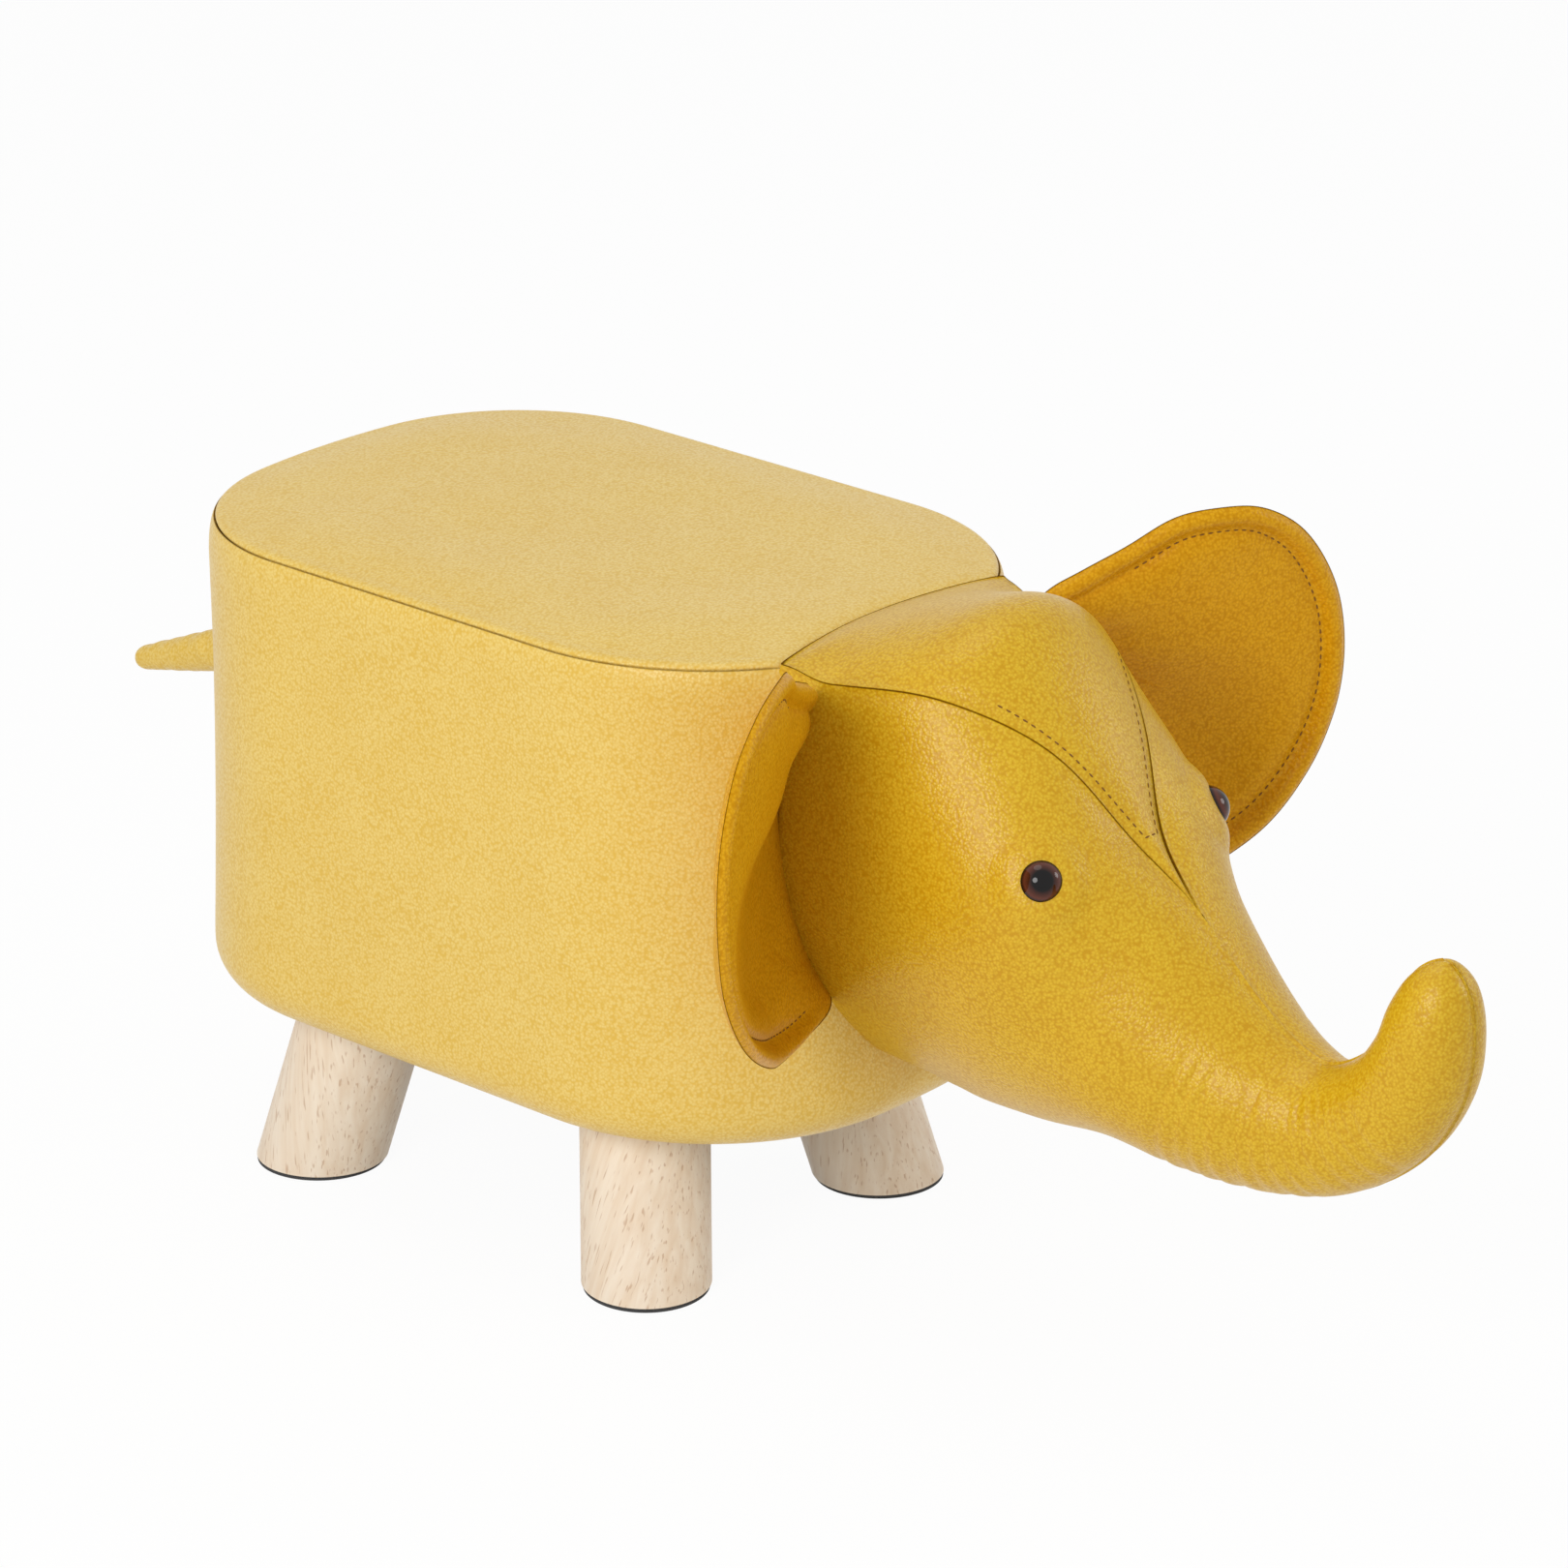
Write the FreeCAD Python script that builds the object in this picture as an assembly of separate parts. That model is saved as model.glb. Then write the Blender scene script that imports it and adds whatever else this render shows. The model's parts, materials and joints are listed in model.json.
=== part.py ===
import FreeCAD, Part
import math
import os

Vector = FreeCAD.Vector

# All sizes are millimetres. X runs from the tail to the trunk, Y to the animal's left,
# and Z up from the floor.

# Upholstered body
body_length = 381.0
body_width = 256.0
seat_height = 320.0
underside_height = 86.6
front_corner_radius = 114.0
front_end_radius = 700.0
rear_corner_radius = 97.0
rear_end_radius = 363.0
hem_radius = 23.0
hem_inset = -3.0
waist_inset = -0.2
seat_edge_radius = 6.0
seat_crown = 4.0
crown_run = 54.0
cover_thickness = 1.6
hem_angles_deg = (0, 22.5, 45, 67.5, 90)
edge_angles_deg = (0, 45, 90)
crown_run_shares = (0, 0.33, 0.67, 1)

# Boards, wall and foam inside the body
core_margin = 2.4
base_board_thickness = 18.0
seat_board_thickness = 15.0
seat_foam_thickness = 40.0
wall_thickness = 3.0
post_width = 40.0
post_to_bolt = 46.0
screw_radius = 2.2
screw_length = 45.0
screw_head_radius = 4.5
screw_head_height = 3.0

# Hem under the body
turn_in_width = 24.0
dust_cover_gap = 0.3
staple_count = 24
staple_crown = 10.0
staple_wire = 1.0
staple_leg = 8.0
staple_line_offset = 2.0

# Legs
leg_diameter = 60.0
leg_splay_x_deg = 11.6
leg_splay_y_deg = 12.2
front_foot_setback = 95.3
rear_foot_setback = 74.8
foot_side_setback = 47.2
foot_pad_thickness = 2.0
foot_pad_inset = 0.8
bolt_radius = 4.0
bolt_clearance = 0.3
bolt_reach = 18.0
bolt_head_radius = 7.5
bolt_head_height = 5.3
washer_radius = 12.0
washer_thickness = 1.6
insert_wall = 2.0
insert_length = 20.0
thread_gap = 0.05

# Head and trunk
neck_setback = 17.5
chin_height = 118.0
head_length = 330.0
head_height = 232.0
head_width = 160.0
trunk_root_radius = 55.5
trunk_seam_share = 0.05

# Head sections from the neck to the tip of the forehead gusset, as shares of the head's sizes:
# place along the head, level above the chin, tilt in degrees, half width, level of the widest point,
# crest above the centre, depth below the centre, half width of the gusset, level of its seams.
# The last five are measured from the section's centre, square to the tilted head axis.
head_section_shares = (
    (-0.091, 0.418, 0, 0.481, 0.078, 0.400, 0.414, 0.463, 0.353),
    (0.003, 0.418, 0, 0.488, 0.086, 0.484, 0.422, 0.469, 0.422),
    (0.097, 0.418, 2, 0.494, 0.086, 0.537, 0.430, 0.422, 0.444),
    (0.188, 0.414, 8, 0.500, 0.091, 0.574, 0.437, 0.346, 0.453),
    (0.270, 0.388, 17, 0.495, 0.099, 0.438, 0.433, 0.194, 0.405),
    (0.348, 0.336, 25, 0.463, 0.078, 0.315, 0.405, 0.063, 0.302),
    (0.424, 0.276, 28, 0.389, 0.026, 0.268, 0.344, 0.009, 0.266),
)

# Trunk sections, round: place along the head, level above the chin, tilt in degrees
# and share of the root radius.
trunk_section_shares = (
    (0.505, 0.209, 25, 1.000),
    (0.593, 0.161, 17, 0.830),
    (0.684, 0.136, 3, 0.668),
    (0.775, 0.149, -20, 0.550),
    (0.855, 0.225, -43, 0.500),
    (0.899, 0.326, -65, 0.462),
    (0.914, 0.419, -77, 0.412),
    (0.922, 0.488, -82, 0.315),
    (0.926, 0.527, -83, 0.180),
    (0.927, 0.544, -83, 0.045),
)
gusset_cut_reach = 12.0

# Eyes, pressed through the cheeks and locked with a washer inside
eye_along_share = 0.408
eye_level_share = 0.573
eye_diameter = 18.0
eye_dome_height = 5.5
eye_rim_height = 1.4
eye_seat_depth = 0.7
eye_shank_radius = 2.5
eye_shank_length = 14.0
eye_washer_radius = 10.0
eye_washer_thickness = 2.0
eye_washer_gap = 0.1

# Ears
ear_sweep_deg = 35.0
ear_reach = 157.0
ear_bottom_height = 155.0
ear_height = 193.0
ear_clearance = 0.4
ear_rim_thickness = 5.0
ear_panel_thickness = 1.4
ear_cup_share = 0.045
ear_belly_share = 0.05

# Ear outline from its lower end to its crest: level, inner edge and outer edge.
# The level is a share of the ear's height and the edges are shares of its reach.
ear_outline_shares = (
    (0, 0, 0.24),
    (0.067, 0, 0.51),
    (0.17, 0, 0.75),
    (0.295, 0, 0.89),
    (0.43, 0, 0.97),
    (0.57, 0, 1),
    (0.71, 0, 0.985),
    (0.83, 0.16, 0.927),
    (0.933, 0.31, 0.83),
    (1, 0.45, 0.70),
)

# Tail
tail_root_height = 216.6
tail_length = 134.0
tail_droop_deg = 18.0
tail_root_radius = 12.0
tail_middle_radius = 10.0
tail_tip_radius = 5.6
tail_clearance = 0.5
tail_middle_share = 0.55
tail_cover_thickness = 1.4

# One overrun serves every cut, and one degree every smooth loft.
overrun = 5.0
loft_degree = 2
hexagon_sides = 6
full_turn_deg = 360
quarter_turn_deg = 90
face_finding_tolerance = 0.16

front_wall_x = body_length / 2
side_wall_y = body_width / 2
seam_height = seat_height - seat_edge_radius
floor_of_core = underside_height + cover_thickness
base_top = floor_of_core + base_board_thickness
seat_board_top = seam_height - seat_foam_thickness
seat_board_underside = seat_board_top - seat_board_thickness
core_inset = hem_inset + hem_radius + core_margin
neck_x = front_wall_x - neck_setback


def arc_edge(first, middle, last):
    return Part.Arc(first, middle, last).toShape()


def line_edge(first, last):
    return Part.LineSegment(first, last).toShape()


def smooth_loft(wires):
    return Part.makeLoft(wires, True, False, False, loft_degree)


def end_curve(inset, end_radius, corner_radius):
    """Centre lines of one rounded end: end arc centre, corner arc centre and the angle where they meet."""
    reach = front_wall_x - inset
    half = side_wall_y - inset
    end_r = end_radius - inset
    corner_r = corner_radius - inset
    end_centre = reach - end_r
    corner_centre = end_centre + math.sqrt((end_r - corner_r) ** 2 - (half - corner_r) ** 2)
    meet = math.atan2(half - corner_r, corner_centre - end_centre)
    return end_centre, corner_centre, meet, end_r, corner_r, half


def plan_wire(inset, height):
    """Closed plan outline of the body: straight flanks, two rounded ends, moved inwards by inset."""
    edges = []
    corners = {}
    for end, end_radius, corner_radius in ((1, front_end_radius, front_corner_radius),
                                           (-1, rear_end_radius, rear_corner_radius)):
        curve = end_curve(inset, end_radius, corner_radius)
        end_centre, corner_centre, meet, end_r, corner_r, half = curve

        def on_end(angle):
            x = end * (end_centre + end_r * math.cos(angle))
            return Vector(x, end * end_r * math.sin(angle), height)

        def on_corner(angle, side):
            y = side * (half - corner_r + corner_r * math.sin(angle))
            return Vector(end * (corner_centre + corner_r * math.cos(angle)), end * y, height)

        middle = (meet + math.pi / 2) / 2
        edges.append(arc_edge(on_corner(math.pi / 2, -1), on_corner(middle, -1), on_end(-meet)))
        edges.append(arc_edge(on_end(-meet), on_end(0), on_end(meet)))
        edges.append(arc_edge(on_end(meet), on_corner(middle, 1), on_corner(math.pi / 2, 1)))
        corners[end] = (on_corner(math.pi / 2, -1), on_corner(math.pi / 2, 1))
    left_flank = line_edge(corners[1][1], corners[-1][0])
    right_flank = line_edge(corners[-1][1], corners[1][0])
    return Part.Wire(edges[:3] + [left_flank] + edges[3:] + [right_flank])


def front_outline_x(y, inset):
    """Place of the front wall in plan at the distance y from the middle."""
    curve = end_curve(inset, front_end_radius, front_corner_radius)
    end_centre, corner_centre, meet, end_r, corner_r, half = curve
    if y <= end_r * math.sin(meet):
        return end_centre + math.sqrt(end_r ** 2 - y ** 2)
    return corner_centre + math.sqrt(corner_r ** 2 - (y - half + corner_r) ** 2)


def prism(inset, low, high):
    return Part.Face(plan_wire(inset, low)).extrude(Vector(0, 0, high - low))


def slab(low, high):
    """A block between two heights that is wider than the body."""
    block = Part.makeBox(body_length * 2, body_width * 2, high - low)
    block.translate(Vector(-body_length, -body_width, low))
    return block


def body_form(skin):
    """The body below the seat seam, a skin depth inside its cover, with a round hem and flared walls."""
    radius = hem_radius - skin
    hem_wires = []
    for angle_deg in hem_angles_deg:
        angle = math.radians(angle_deg)
        inset = skin + hem_inset + radius * (1 - math.sin(angle))
        hem_wires.append(plan_wire(inset, underside_height + skin + radius * (1 - math.cos(angle))))
    hem_top = underside_height + hem_radius
    waist_height = (hem_top + seam_height) / 2
    wall_wires = [hem_wires[-1], plan_wire(skin + waist_inset, waist_height), plan_wire(skin, seam_height)]
    return smooth_loft(hem_wires).fuse(smooth_loft(wall_wires)).removeSplitter()


def crown_form(skin):
    """The domed top of the seat above its seam, a skin depth inside its cover."""
    radius = seat_edge_radius - skin
    edge_wires = []
    for angle_deg in edge_angles_deg:
        angle = math.radians(angle_deg)
        inset = skin + radius * (1 - math.cos(angle))
        edge_wires.append(plan_wire(inset, seam_height + radius * math.sin(angle)))
    dome_wires = []
    for share in crown_run_shares:
        rise = seat_crown * (1 - (1 - share) ** 2)
        dome_wires.append(plan_wire(seat_edge_radius + crown_run * share, seat_height - skin + rise))
    return smooth_loft(edge_wires).fuse(smooth_loft(dome_wires)).removeSplitter()


def mirrored(shape):
    """The same piece on the animal's right side."""
    return shape.mirror(Vector(0, 0, 0), Vector(0, 1, 0))


def cylinder(radius, height, base, axis=Vector(0, 0, 1)):
    return Part.makeCylinder(radius, height, base, axis)


def hexagon(radius, height, base):
    points = []
    for corner in range(hexagon_sides + 1):
        angle = 2 * math.pi * corner / hexagon_sides
        points.append(base + Vector(radius * math.cos(angle), radius * math.sin(angle), 0))
    return Part.Face(Part.makePolygon(points)).extrude(Vector(0, 0, height))


# Sewn cover and foam of the body
body_outer = body_form(0)
body_inner = body_form(cover_thickness)
seat_outer = crown_form(0)
seat_inner = crown_form(cover_thickness)
body_skin = body_outer.fuse(seat_outer)
turn_in_inset = hem_inset + hem_radius + turn_in_width

open_middle = prism(turn_in_inset, underside_height - overrun, floor_of_core + overrun)
side_cover = body_outer.cut(body_inner).cut(open_middle)
seat_cover = seat_outer.cut(seat_inner)
side_foam = body_inner.common(slab(floor_of_core, seat_board_top)).cut(
    prism(core_inset, floor_of_core - overrun, seat_board_top + overrun))
seat_foam = body_inner.common(slab(seat_board_top, seam_height)).fuse(seat_inner).removeSplitter()
dust_cover = prism(turn_in_inset + dust_cover_gap, underside_height, floor_of_core)

# Boards, bent wall and posts
base_board = prism(core_inset, floor_of_core, base_top)
seat_board = prism(core_inset, seat_board_underside, seat_board_top)
wall_panel = prism(core_inset, base_top, seat_board_underside).cut(
    prism(core_inset + wall_thickness, base_top - overrun, seat_board_underside + overrun))

# Legs with their foot pads, inserts, bolts and washers
leg_radius = leg_diameter / 2
leg_places = {}
for end_name, end_sign, foot_x in (("front", 1, front_wall_x - front_foot_setback),
                                   ("rear", -1, rear_foot_setback - front_wall_x)):
    for side_name, side_sign in (("left", 1), ("right", -1)):
        foot_y = side_sign * (side_wall_y - foot_side_setback)
        lean_x = -end_sign * math.tan(math.radians(leg_splay_x_deg))
        lean_y = -side_sign * math.tan(math.radians(leg_splay_y_deg))
        foot = Vector(foot_x, foot_y, 0)
        leg_places[end_name + "_" + side_name] = (foot, Vector(lean_x, lean_y, 1), end_sign)

legs = {}
foot_pads = {}
bolts = []
washers = []
inserts = []
bolt_holes = []
posts = {}
screws = []
insert_radius = bolt_radius + insert_wall
post_y = side_wall_y - core_inset - wall_thickness - post_width / 2
for place, (foot, lean, end_sign) in leg_places.items():
    start = foot - lean * leg_diameter
    stock_length = lean.Length * (underside_height + 2 * leg_diameter)
    stock = cylinder(leg_radius, stock_length, start, lean)
    pad_stock = cylinder(leg_radius - foot_pad_inset, stock_length, start, lean)
    top = foot + lean * underside_height
    sleeve = cylinder(insert_radius, insert_length, top - Vector(0, 0, insert_length))
    legs[place] = stock.common(slab(foot_pad_thickness, underside_height)).cut(sleeve)
    foot_pads[place] = pad_stock.common(slab(0, foot_pad_thickness))
    thread = cylinder(bolt_radius + thread_gap, insert_length, top - Vector(0, 0, insert_length))
    inserts.append(sleeve.cut(thread))
    washer_base = Vector(top.x, top.y, base_top)
    hole = cylinder(bolt_radius + bolt_clearance, washer_thickness, washer_base)
    washers.append(cylinder(washer_radius, washer_thickness, washer_base).cut(hole))
    head_base = Vector(top.x, top.y, base_top + washer_thickness)
    bolt_bottom = underside_height - bolt_reach
    shank = cylinder(bolt_radius, head_base.z - bolt_bottom, Vector(top.x, top.y, bolt_bottom))
    bolts.append(shank.fuse(hexagon(bolt_head_radius, bolt_head_height, head_base)).removeSplitter())
    bolt_holes.append(cylinder(bolt_radius + bolt_clearance, base_top - underside_height + 2 * overrun,
                               Vector(top.x, top.y, underside_height - overrun)))
    post_x = top.x - end_sign * post_to_bolt
    post_y_signed = math.copysign(post_y, foot.y)
    post = Part.makeBox(post_width, post_width, seat_board_underside - base_top)
    post.translate(Vector(post_x - post_width / 2, post_y_signed - post_width / 2, base_top))
    low_head = Part.makeCone(screw_head_radius, screw_radius, screw_head_height,
                             Vector(post_x, post_y_signed, floor_of_core))
    low_shank = cylinder(screw_radius, screw_length, Vector(post_x, post_y_signed, floor_of_core))
    high_head = Part.makeCone(screw_radius, screw_head_radius, screw_head_height,
                              Vector(post_x, post_y_signed, seat_board_top - screw_head_height))
    high_base = Vector(post_x, post_y_signed, seat_board_top - screw_length)
    high_shank = cylinder(screw_radius, screw_length, high_base)
    pair = [low_head.fuse(low_shank).removeSplitter(), high_head.fuse(high_shank).removeSplitter()]
    screws.extend(pair)
    posts[place] = post.cut(pair)

base_board = base_board.cut(bolt_holes).cut(screws)
seat_board = seat_board.cut(screws)
dust_cover = dust_cover.cut(bolt_holes)

# Staples that hold the turned-in hem to the base board
staples = []
staple_wire_line = plan_wire(core_inset + staple_line_offset, underside_height)
staple_points = staple_wire_line.discretize(Number=staple_count + 1)
for index in range(staple_count):
    point = staple_points[index]
    ahead = staple_points[index + 1] - staple_points[index - 1 if index else staple_count - 1]
    turn = math.degrees(math.atan2(ahead.y, ahead.x))
    crown = Part.makeBox(staple_crown, staple_wire, staple_wire)
    crown.translate(Vector(-staple_crown / 2, -staple_wire / 2, -staple_wire))
    staple = crown
    for leg_x in (-staple_crown / 2, staple_crown / 2 - staple_wire):
        prong = Part.makeBox(staple_wire, staple_wire, staple_leg)
        prong.translate(Vector(leg_x, -staple_wire / 2, 0))
        staple = staple.fuse(prong)
    staple = staple.removeSplitter()
    staple.rotate(Vector(0, 0, 0), Vector(0, 0, 1), turn)
    staple.translate(point)
    staples.append(staple)
side_cover = side_cover.cut(staples)
base_board = base_board.cut(staples)


def section_frame(along, level, tilt_deg):
    """Centre, up direction and forward direction of one head or trunk section."""
    tilt = math.radians(tilt_deg)
    centre = Vector(neck_x + along * head_length, 0, chin_height + level * head_height)
    up = Vector(math.sin(tilt), 0, math.cos(tilt))
    forward = Vector(math.cos(tilt), 0, -math.sin(tilt))
    return centre, up, forward


def section_sizes():
    """Every section of the head and trunk in millimetres."""
    sections = []
    for along, level, tilt, width, widest, crest, depth, gusset, seam in head_section_shares:
        sizes = (head_width * width, head_height * widest, head_height * crest, head_height * depth,
                 head_width * gusset, head_height * seam)
        sections.append((section_frame(along, level, tilt), sizes))
    for along, level, tilt, radius_share in trunk_section_shares:
        radius = trunk_root_radius * radius_share
        gusset = radius * trunk_seam_share
        seam = math.sqrt(radius ** 2 - gusset ** 2)
        sections.append((section_frame(along, level, tilt), (radius, 0, radius, radius, gusset, seam)))
    return sections


def section_wire(frame, sizes, skin):
    """One closed section: crest arc between the gusset seams, full cheeks and a round chin."""
    centre, up, forward = frame
    full_width, widest, full_crest, full_depth, full_gusset, full_seam = sizes
    half_width = full_width - skin
    crest = full_crest - skin
    depth = full_depth - skin
    seam = full_seam - skin
    gusset = full_gusset * half_width / full_width

    def at(side, level):
        return centre + Vector(0, side, 0) + up * level

    across = half_width - gusset
    cheek_radius = (across ** 2 + (seam - widest) ** 2) / (2 * across)
    cheek_centre = half_width - cheek_radius
    seam_angle = math.atan2(seam - widest, gusset - cheek_centre)
    fall = widest + depth
    diagonal = math.sqrt(0.5)
    flank_radius = (fall * diagonal - half_width * (1 - diagonal)) / (2 * diagonal - 1)
    chin_radius = (half_width * diagonal - fall * (1 - diagonal)) / (2 * diagonal - 1)
    flank_centre = half_width - flank_radius

    def cheek(side, angle):
        across = cheek_centre + cheek_radius * math.cos(angle)
        return at(side * across, widest + cheek_radius * math.sin(angle))

    def flank(side, angle):
        across = flank_centre + flank_radius * math.cos(angle)
        return at(side * across, widest - flank_radius * math.sin(angle))

    chin_turn = math.pi / 4
    crest_edge = arc_edge(at(-gusset, seam), at(0, crest), at(gusset, seam))
    left_cheek = arc_edge(at(gusset, seam), cheek(1, seam_angle / 2), at(half_width, widest))
    left_flank = arc_edge(at(half_width, widest), flank(1, chin_turn / 2), flank(1, chin_turn))
    chin = arc_edge(flank(1, chin_turn), at(0, -depth), flank(-1, chin_turn))
    right_flank = arc_edge(flank(-1, chin_turn), flank(-1, chin_turn / 2), at(-half_width, widest))
    right_cheek = arc_edge(at(-half_width, widest), cheek(-1, seam_angle / 2), at(-gusset, seam))
    return Part.Wire([crest_edge, left_cheek, left_flank, chin, right_flank, right_cheek])


def head_form(skin):
    """Head and trunk in one, a skin depth inside the leather."""
    sections = section_sizes()
    centre, up, forward = sections[-1][0]
    sections[-1] = ((centre - forward * skin, up, forward), sections[-1][1])
    return smooth_loft([section_wire(frame, sizes, skin) for frame, sizes in sections])


def gusset_wedge():
    """A wedge whose sides pass through the two forehead seams."""
    wires = []
    for frame, sizes in section_sizes()[:len(head_section_shares)]:
        centre, up, forward = frame
        crest = sizes[2]
        gusset = sizes[4]
        seam = sizes[5]
        top = crest + gusset_cut_reach
        reach = gusset + top - seam
        left = centre + Vector(0, reach, 0) + up * top
        right = centre + Vector(0, -reach, 0) + up * top
        low = centre + up * (seam - gusset)
        wires.append(Part.makePolygon([low, left, right, low]))
    return Part.makeLoft(wires, True, True)


def half_space(side):
    """Everything on one side of the animal's middle plane."""
    block = Part.makeBox(body_length * 3, body_length, seat_height * 2)
    block.translate(Vector(-body_length, 0, -overrun))
    return block if side > 0 else mirrored(block)


def trunk_space():
    """Everything in front of the plane where the trunk leaves the head."""
    along, level, tilt, radius_share = trunk_section_shares[0]
    centre, up, forward = section_frame(along, level, tilt)
    size = head_length
    block = Part.makeBox(size, 2 * size, 2 * size)
    block.translate(Vector(0, -size, -size))
    block.rotate(Vector(0, 0, 0), Vector(0, 1, 0), tilt)
    block.translate(centre)
    return block


head_outer = head_form(0)
head_inner = head_form(cover_thickness)
head_skin = head_outer.cut(head_inner).cut(body_skin)
stuffing = head_inner.cut(body_skin)
wedge = gusset_wedge()
forehead_panel = head_skin.common(wedge)
cheeks = head_skin.cut(wedge)
cheek_left = cheeks.common(half_space(1))
cheek_right = cheeks.common(half_space(-1))
trunk_fill = stuffing.common(trunk_space())
head_fill = stuffing.cut(trunk_space())


def surface_point(shape, x, z):
    """Outermost point of a shape on the left side at a given place, with the outward normal there."""
    probe = line_edge(Vector(x, 0, z), Vector(x, head_width, z))
    inside = probe.common(shape)
    point = max((vertex.Point for vertex in inside.Vertexes), key=lambda place: place.y)
    for face in shape.Faces:
        if face.isInside(point, face_finding_tolerance, True):
            u, v = face.Surface.parameter(point)
            return point, face.normalAt(u, v)
    raise ValueError("no face at the eye")


# Left eye, then its mirror image
eye_x = neck_x + eye_along_share * head_length
eye_z = chin_height + eye_level_share * head_height
eye_point, eye_axis = surface_point(head_outer, eye_x, eye_z)
eye_seat = eye_point - eye_axis * eye_seat_depth
eye_radius = eye_diameter / 2
dome_radius = (eye_radius ** 2 + eye_dome_height ** 2) / (2 * eye_dome_height)
dome_base = eye_seat + eye_axis * eye_rim_height
dome = Part.makeSphere(dome_radius, dome_base + eye_axis * (eye_dome_height - dome_radius))
dome = dome.common(cylinder(eye_radius, 2 * dome_radius, dome_base, eye_axis))
rim = cylinder(eye_radius, eye_rim_height, eye_seat, eye_axis)
shank = cylinder(eye_shank_radius, eye_shank_length, eye_seat - eye_axis * eye_shank_length, eye_axis)
eye_left = dome.fuse(rim).fuse(shank).removeSplitter()
washer_outer_face = eye_seat - eye_axis * (cover_thickness + eye_seat_depth)
washer_base = washer_outer_face - eye_axis * eye_washer_thickness
eye_washer_left = cylinder(eye_washer_radius, eye_washer_thickness, washer_base, eye_axis).cut(
    cylinder(eye_shank_radius + eye_washer_gap, eye_washer_thickness, washer_base, eye_axis))
eye_washer_left = eye_washer_left.common(head_inner)
eye_right = mirrored(eye_left)
eye_washer_right = mirrored(eye_washer_left)
cheek_left = cheek_left.cut(eye_left)
cheek_right = cheek_right.cut(eye_right)
head_fill = head_fill.cut([eye_left, eye_right, eye_washer_left, eye_washer_right])
trunk_fill = trunk_fill.cut([eye_left, eye_right])

# Left ear: a cupped pad between two panels, drawn flat and then swung forward about its sewn root.
# In the flat drawing X runs out from the root, -Y is the hollow front and Z is up.
ear_root_reach = ear_rim_thickness / 2 + ear_clearance
neck_half_width = head_width * head_section_shares[1][3]
ear_axis_y = neck_half_width + ear_root_reach
ear_axis = Vector(front_outline_x(ear_axis_y, hem_inset - ear_root_reach), ear_axis_y, 0)


def ear_section(shares, inset, lift):
    """One level section of the ear: a crescent with square ends at the root and the rim."""
    level, inner_edge, outer_edge = shares
    z = ear_bottom_height + ear_height * level + lift
    inner = ear_reach * inner_edge + inset
    outer = ear_reach * outer_edge - inset
    middle = (inner + outer) / 2
    hollow = ear_cup_share * ear_reach * (outer_edge - inner_edge)
    belly = hollow + ear_belly_share * ear_reach * (outer_edge - inner_edge)
    front = inset - ear_rim_thickness / 2
    back = ear_rim_thickness / 2 - inset
    root_front = Vector(inner, front, z)
    root_back = Vector(inner, back, z)
    rim_front = Vector(outer, front, z)
    rim_back = Vector(outer, back, z)
    hollow_face = arc_edge(root_front, Vector(middle, front + hollow, z), rim_front)
    belly_face = arc_edge(rim_back, Vector(middle, back + belly, z), root_back)
    root_edge = line_edge(root_back, root_front)
    rim_edge = line_edge(rim_front, rim_back)
    return Part.Wire([root_edge, hollow_face, rim_edge, belly_face])


def ear_form(inset):
    """The whole padded ear, the inset inside its outer faces."""
    wires = []
    for index, shares in enumerate(ear_outline_shares):
        lift = inset * ((index == 0) - (index == len(ear_outline_shares) - 1))
        wires.append(ear_section(shares, inset, lift))
    return smooth_loft(wires)


def ear_back_space():
    """Everything behind the middle surface of the ear, where its two panels are sewn together."""
    wires = []
    for index, (level, inner_edge, outer_edge) in enumerate(ear_outline_shares):
        lift = overrun * ((index == len(ear_outline_shares) - 1) - (index == 0))
        z = ear_bottom_height + ear_height * level + lift
        inner = ear_reach * inner_edge - overrun
        outer = ear_reach * outer_edge + overrun
        bow = (ear_cup_share + ear_belly_share / 2) * ear_reach * (outer_edge - inner_edge)
        root = Vector(inner, 0, z)
        rim = Vector(outer, 0, z)
        behind_rim = Vector(outer, ear_reach, z)
        behind_root = Vector(inner, ear_reach, z)
        middle_face = arc_edge(root, Vector((inner + outer) / 2, bow, z), rim)
        wires.append(Part.Wire([middle_face, line_edge(rim, behind_rim), line_edge(behind_rim, behind_root),
                                line_edge(behind_root, root)]))
    return smooth_loft(wires)


def swung(shape):
    """Puts a flat-drawn left ear piece at its root beside the neck."""
    placed = shape.copy()
    placed.rotate(Vector(0, 0, 0), Vector(0, 0, 1), quarter_turn_deg - ear_sweep_deg)
    placed.translate(ear_axis)
    return placed


ear_outer = ear_form(0)
ear_pad = ear_form(ear_panel_thickness)
ear_skin = ear_outer.cut(ear_pad)
ear_rear = ear_back_space()
ear_front = ear_skin.cut(ear_rear)
ear_back = ear_skin.common(ear_rear)
ear_pieces = {"front": swung(ear_front), "back": swung(ear_back), "pad": swung(ear_pad)}

# Tail: a stuffed taper with a round root, drawn along -X and then drooped
tail_root = Vector(waist_inset - front_wall_x - tail_clearance - tail_root_radius, 0, tail_root_height)


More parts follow.
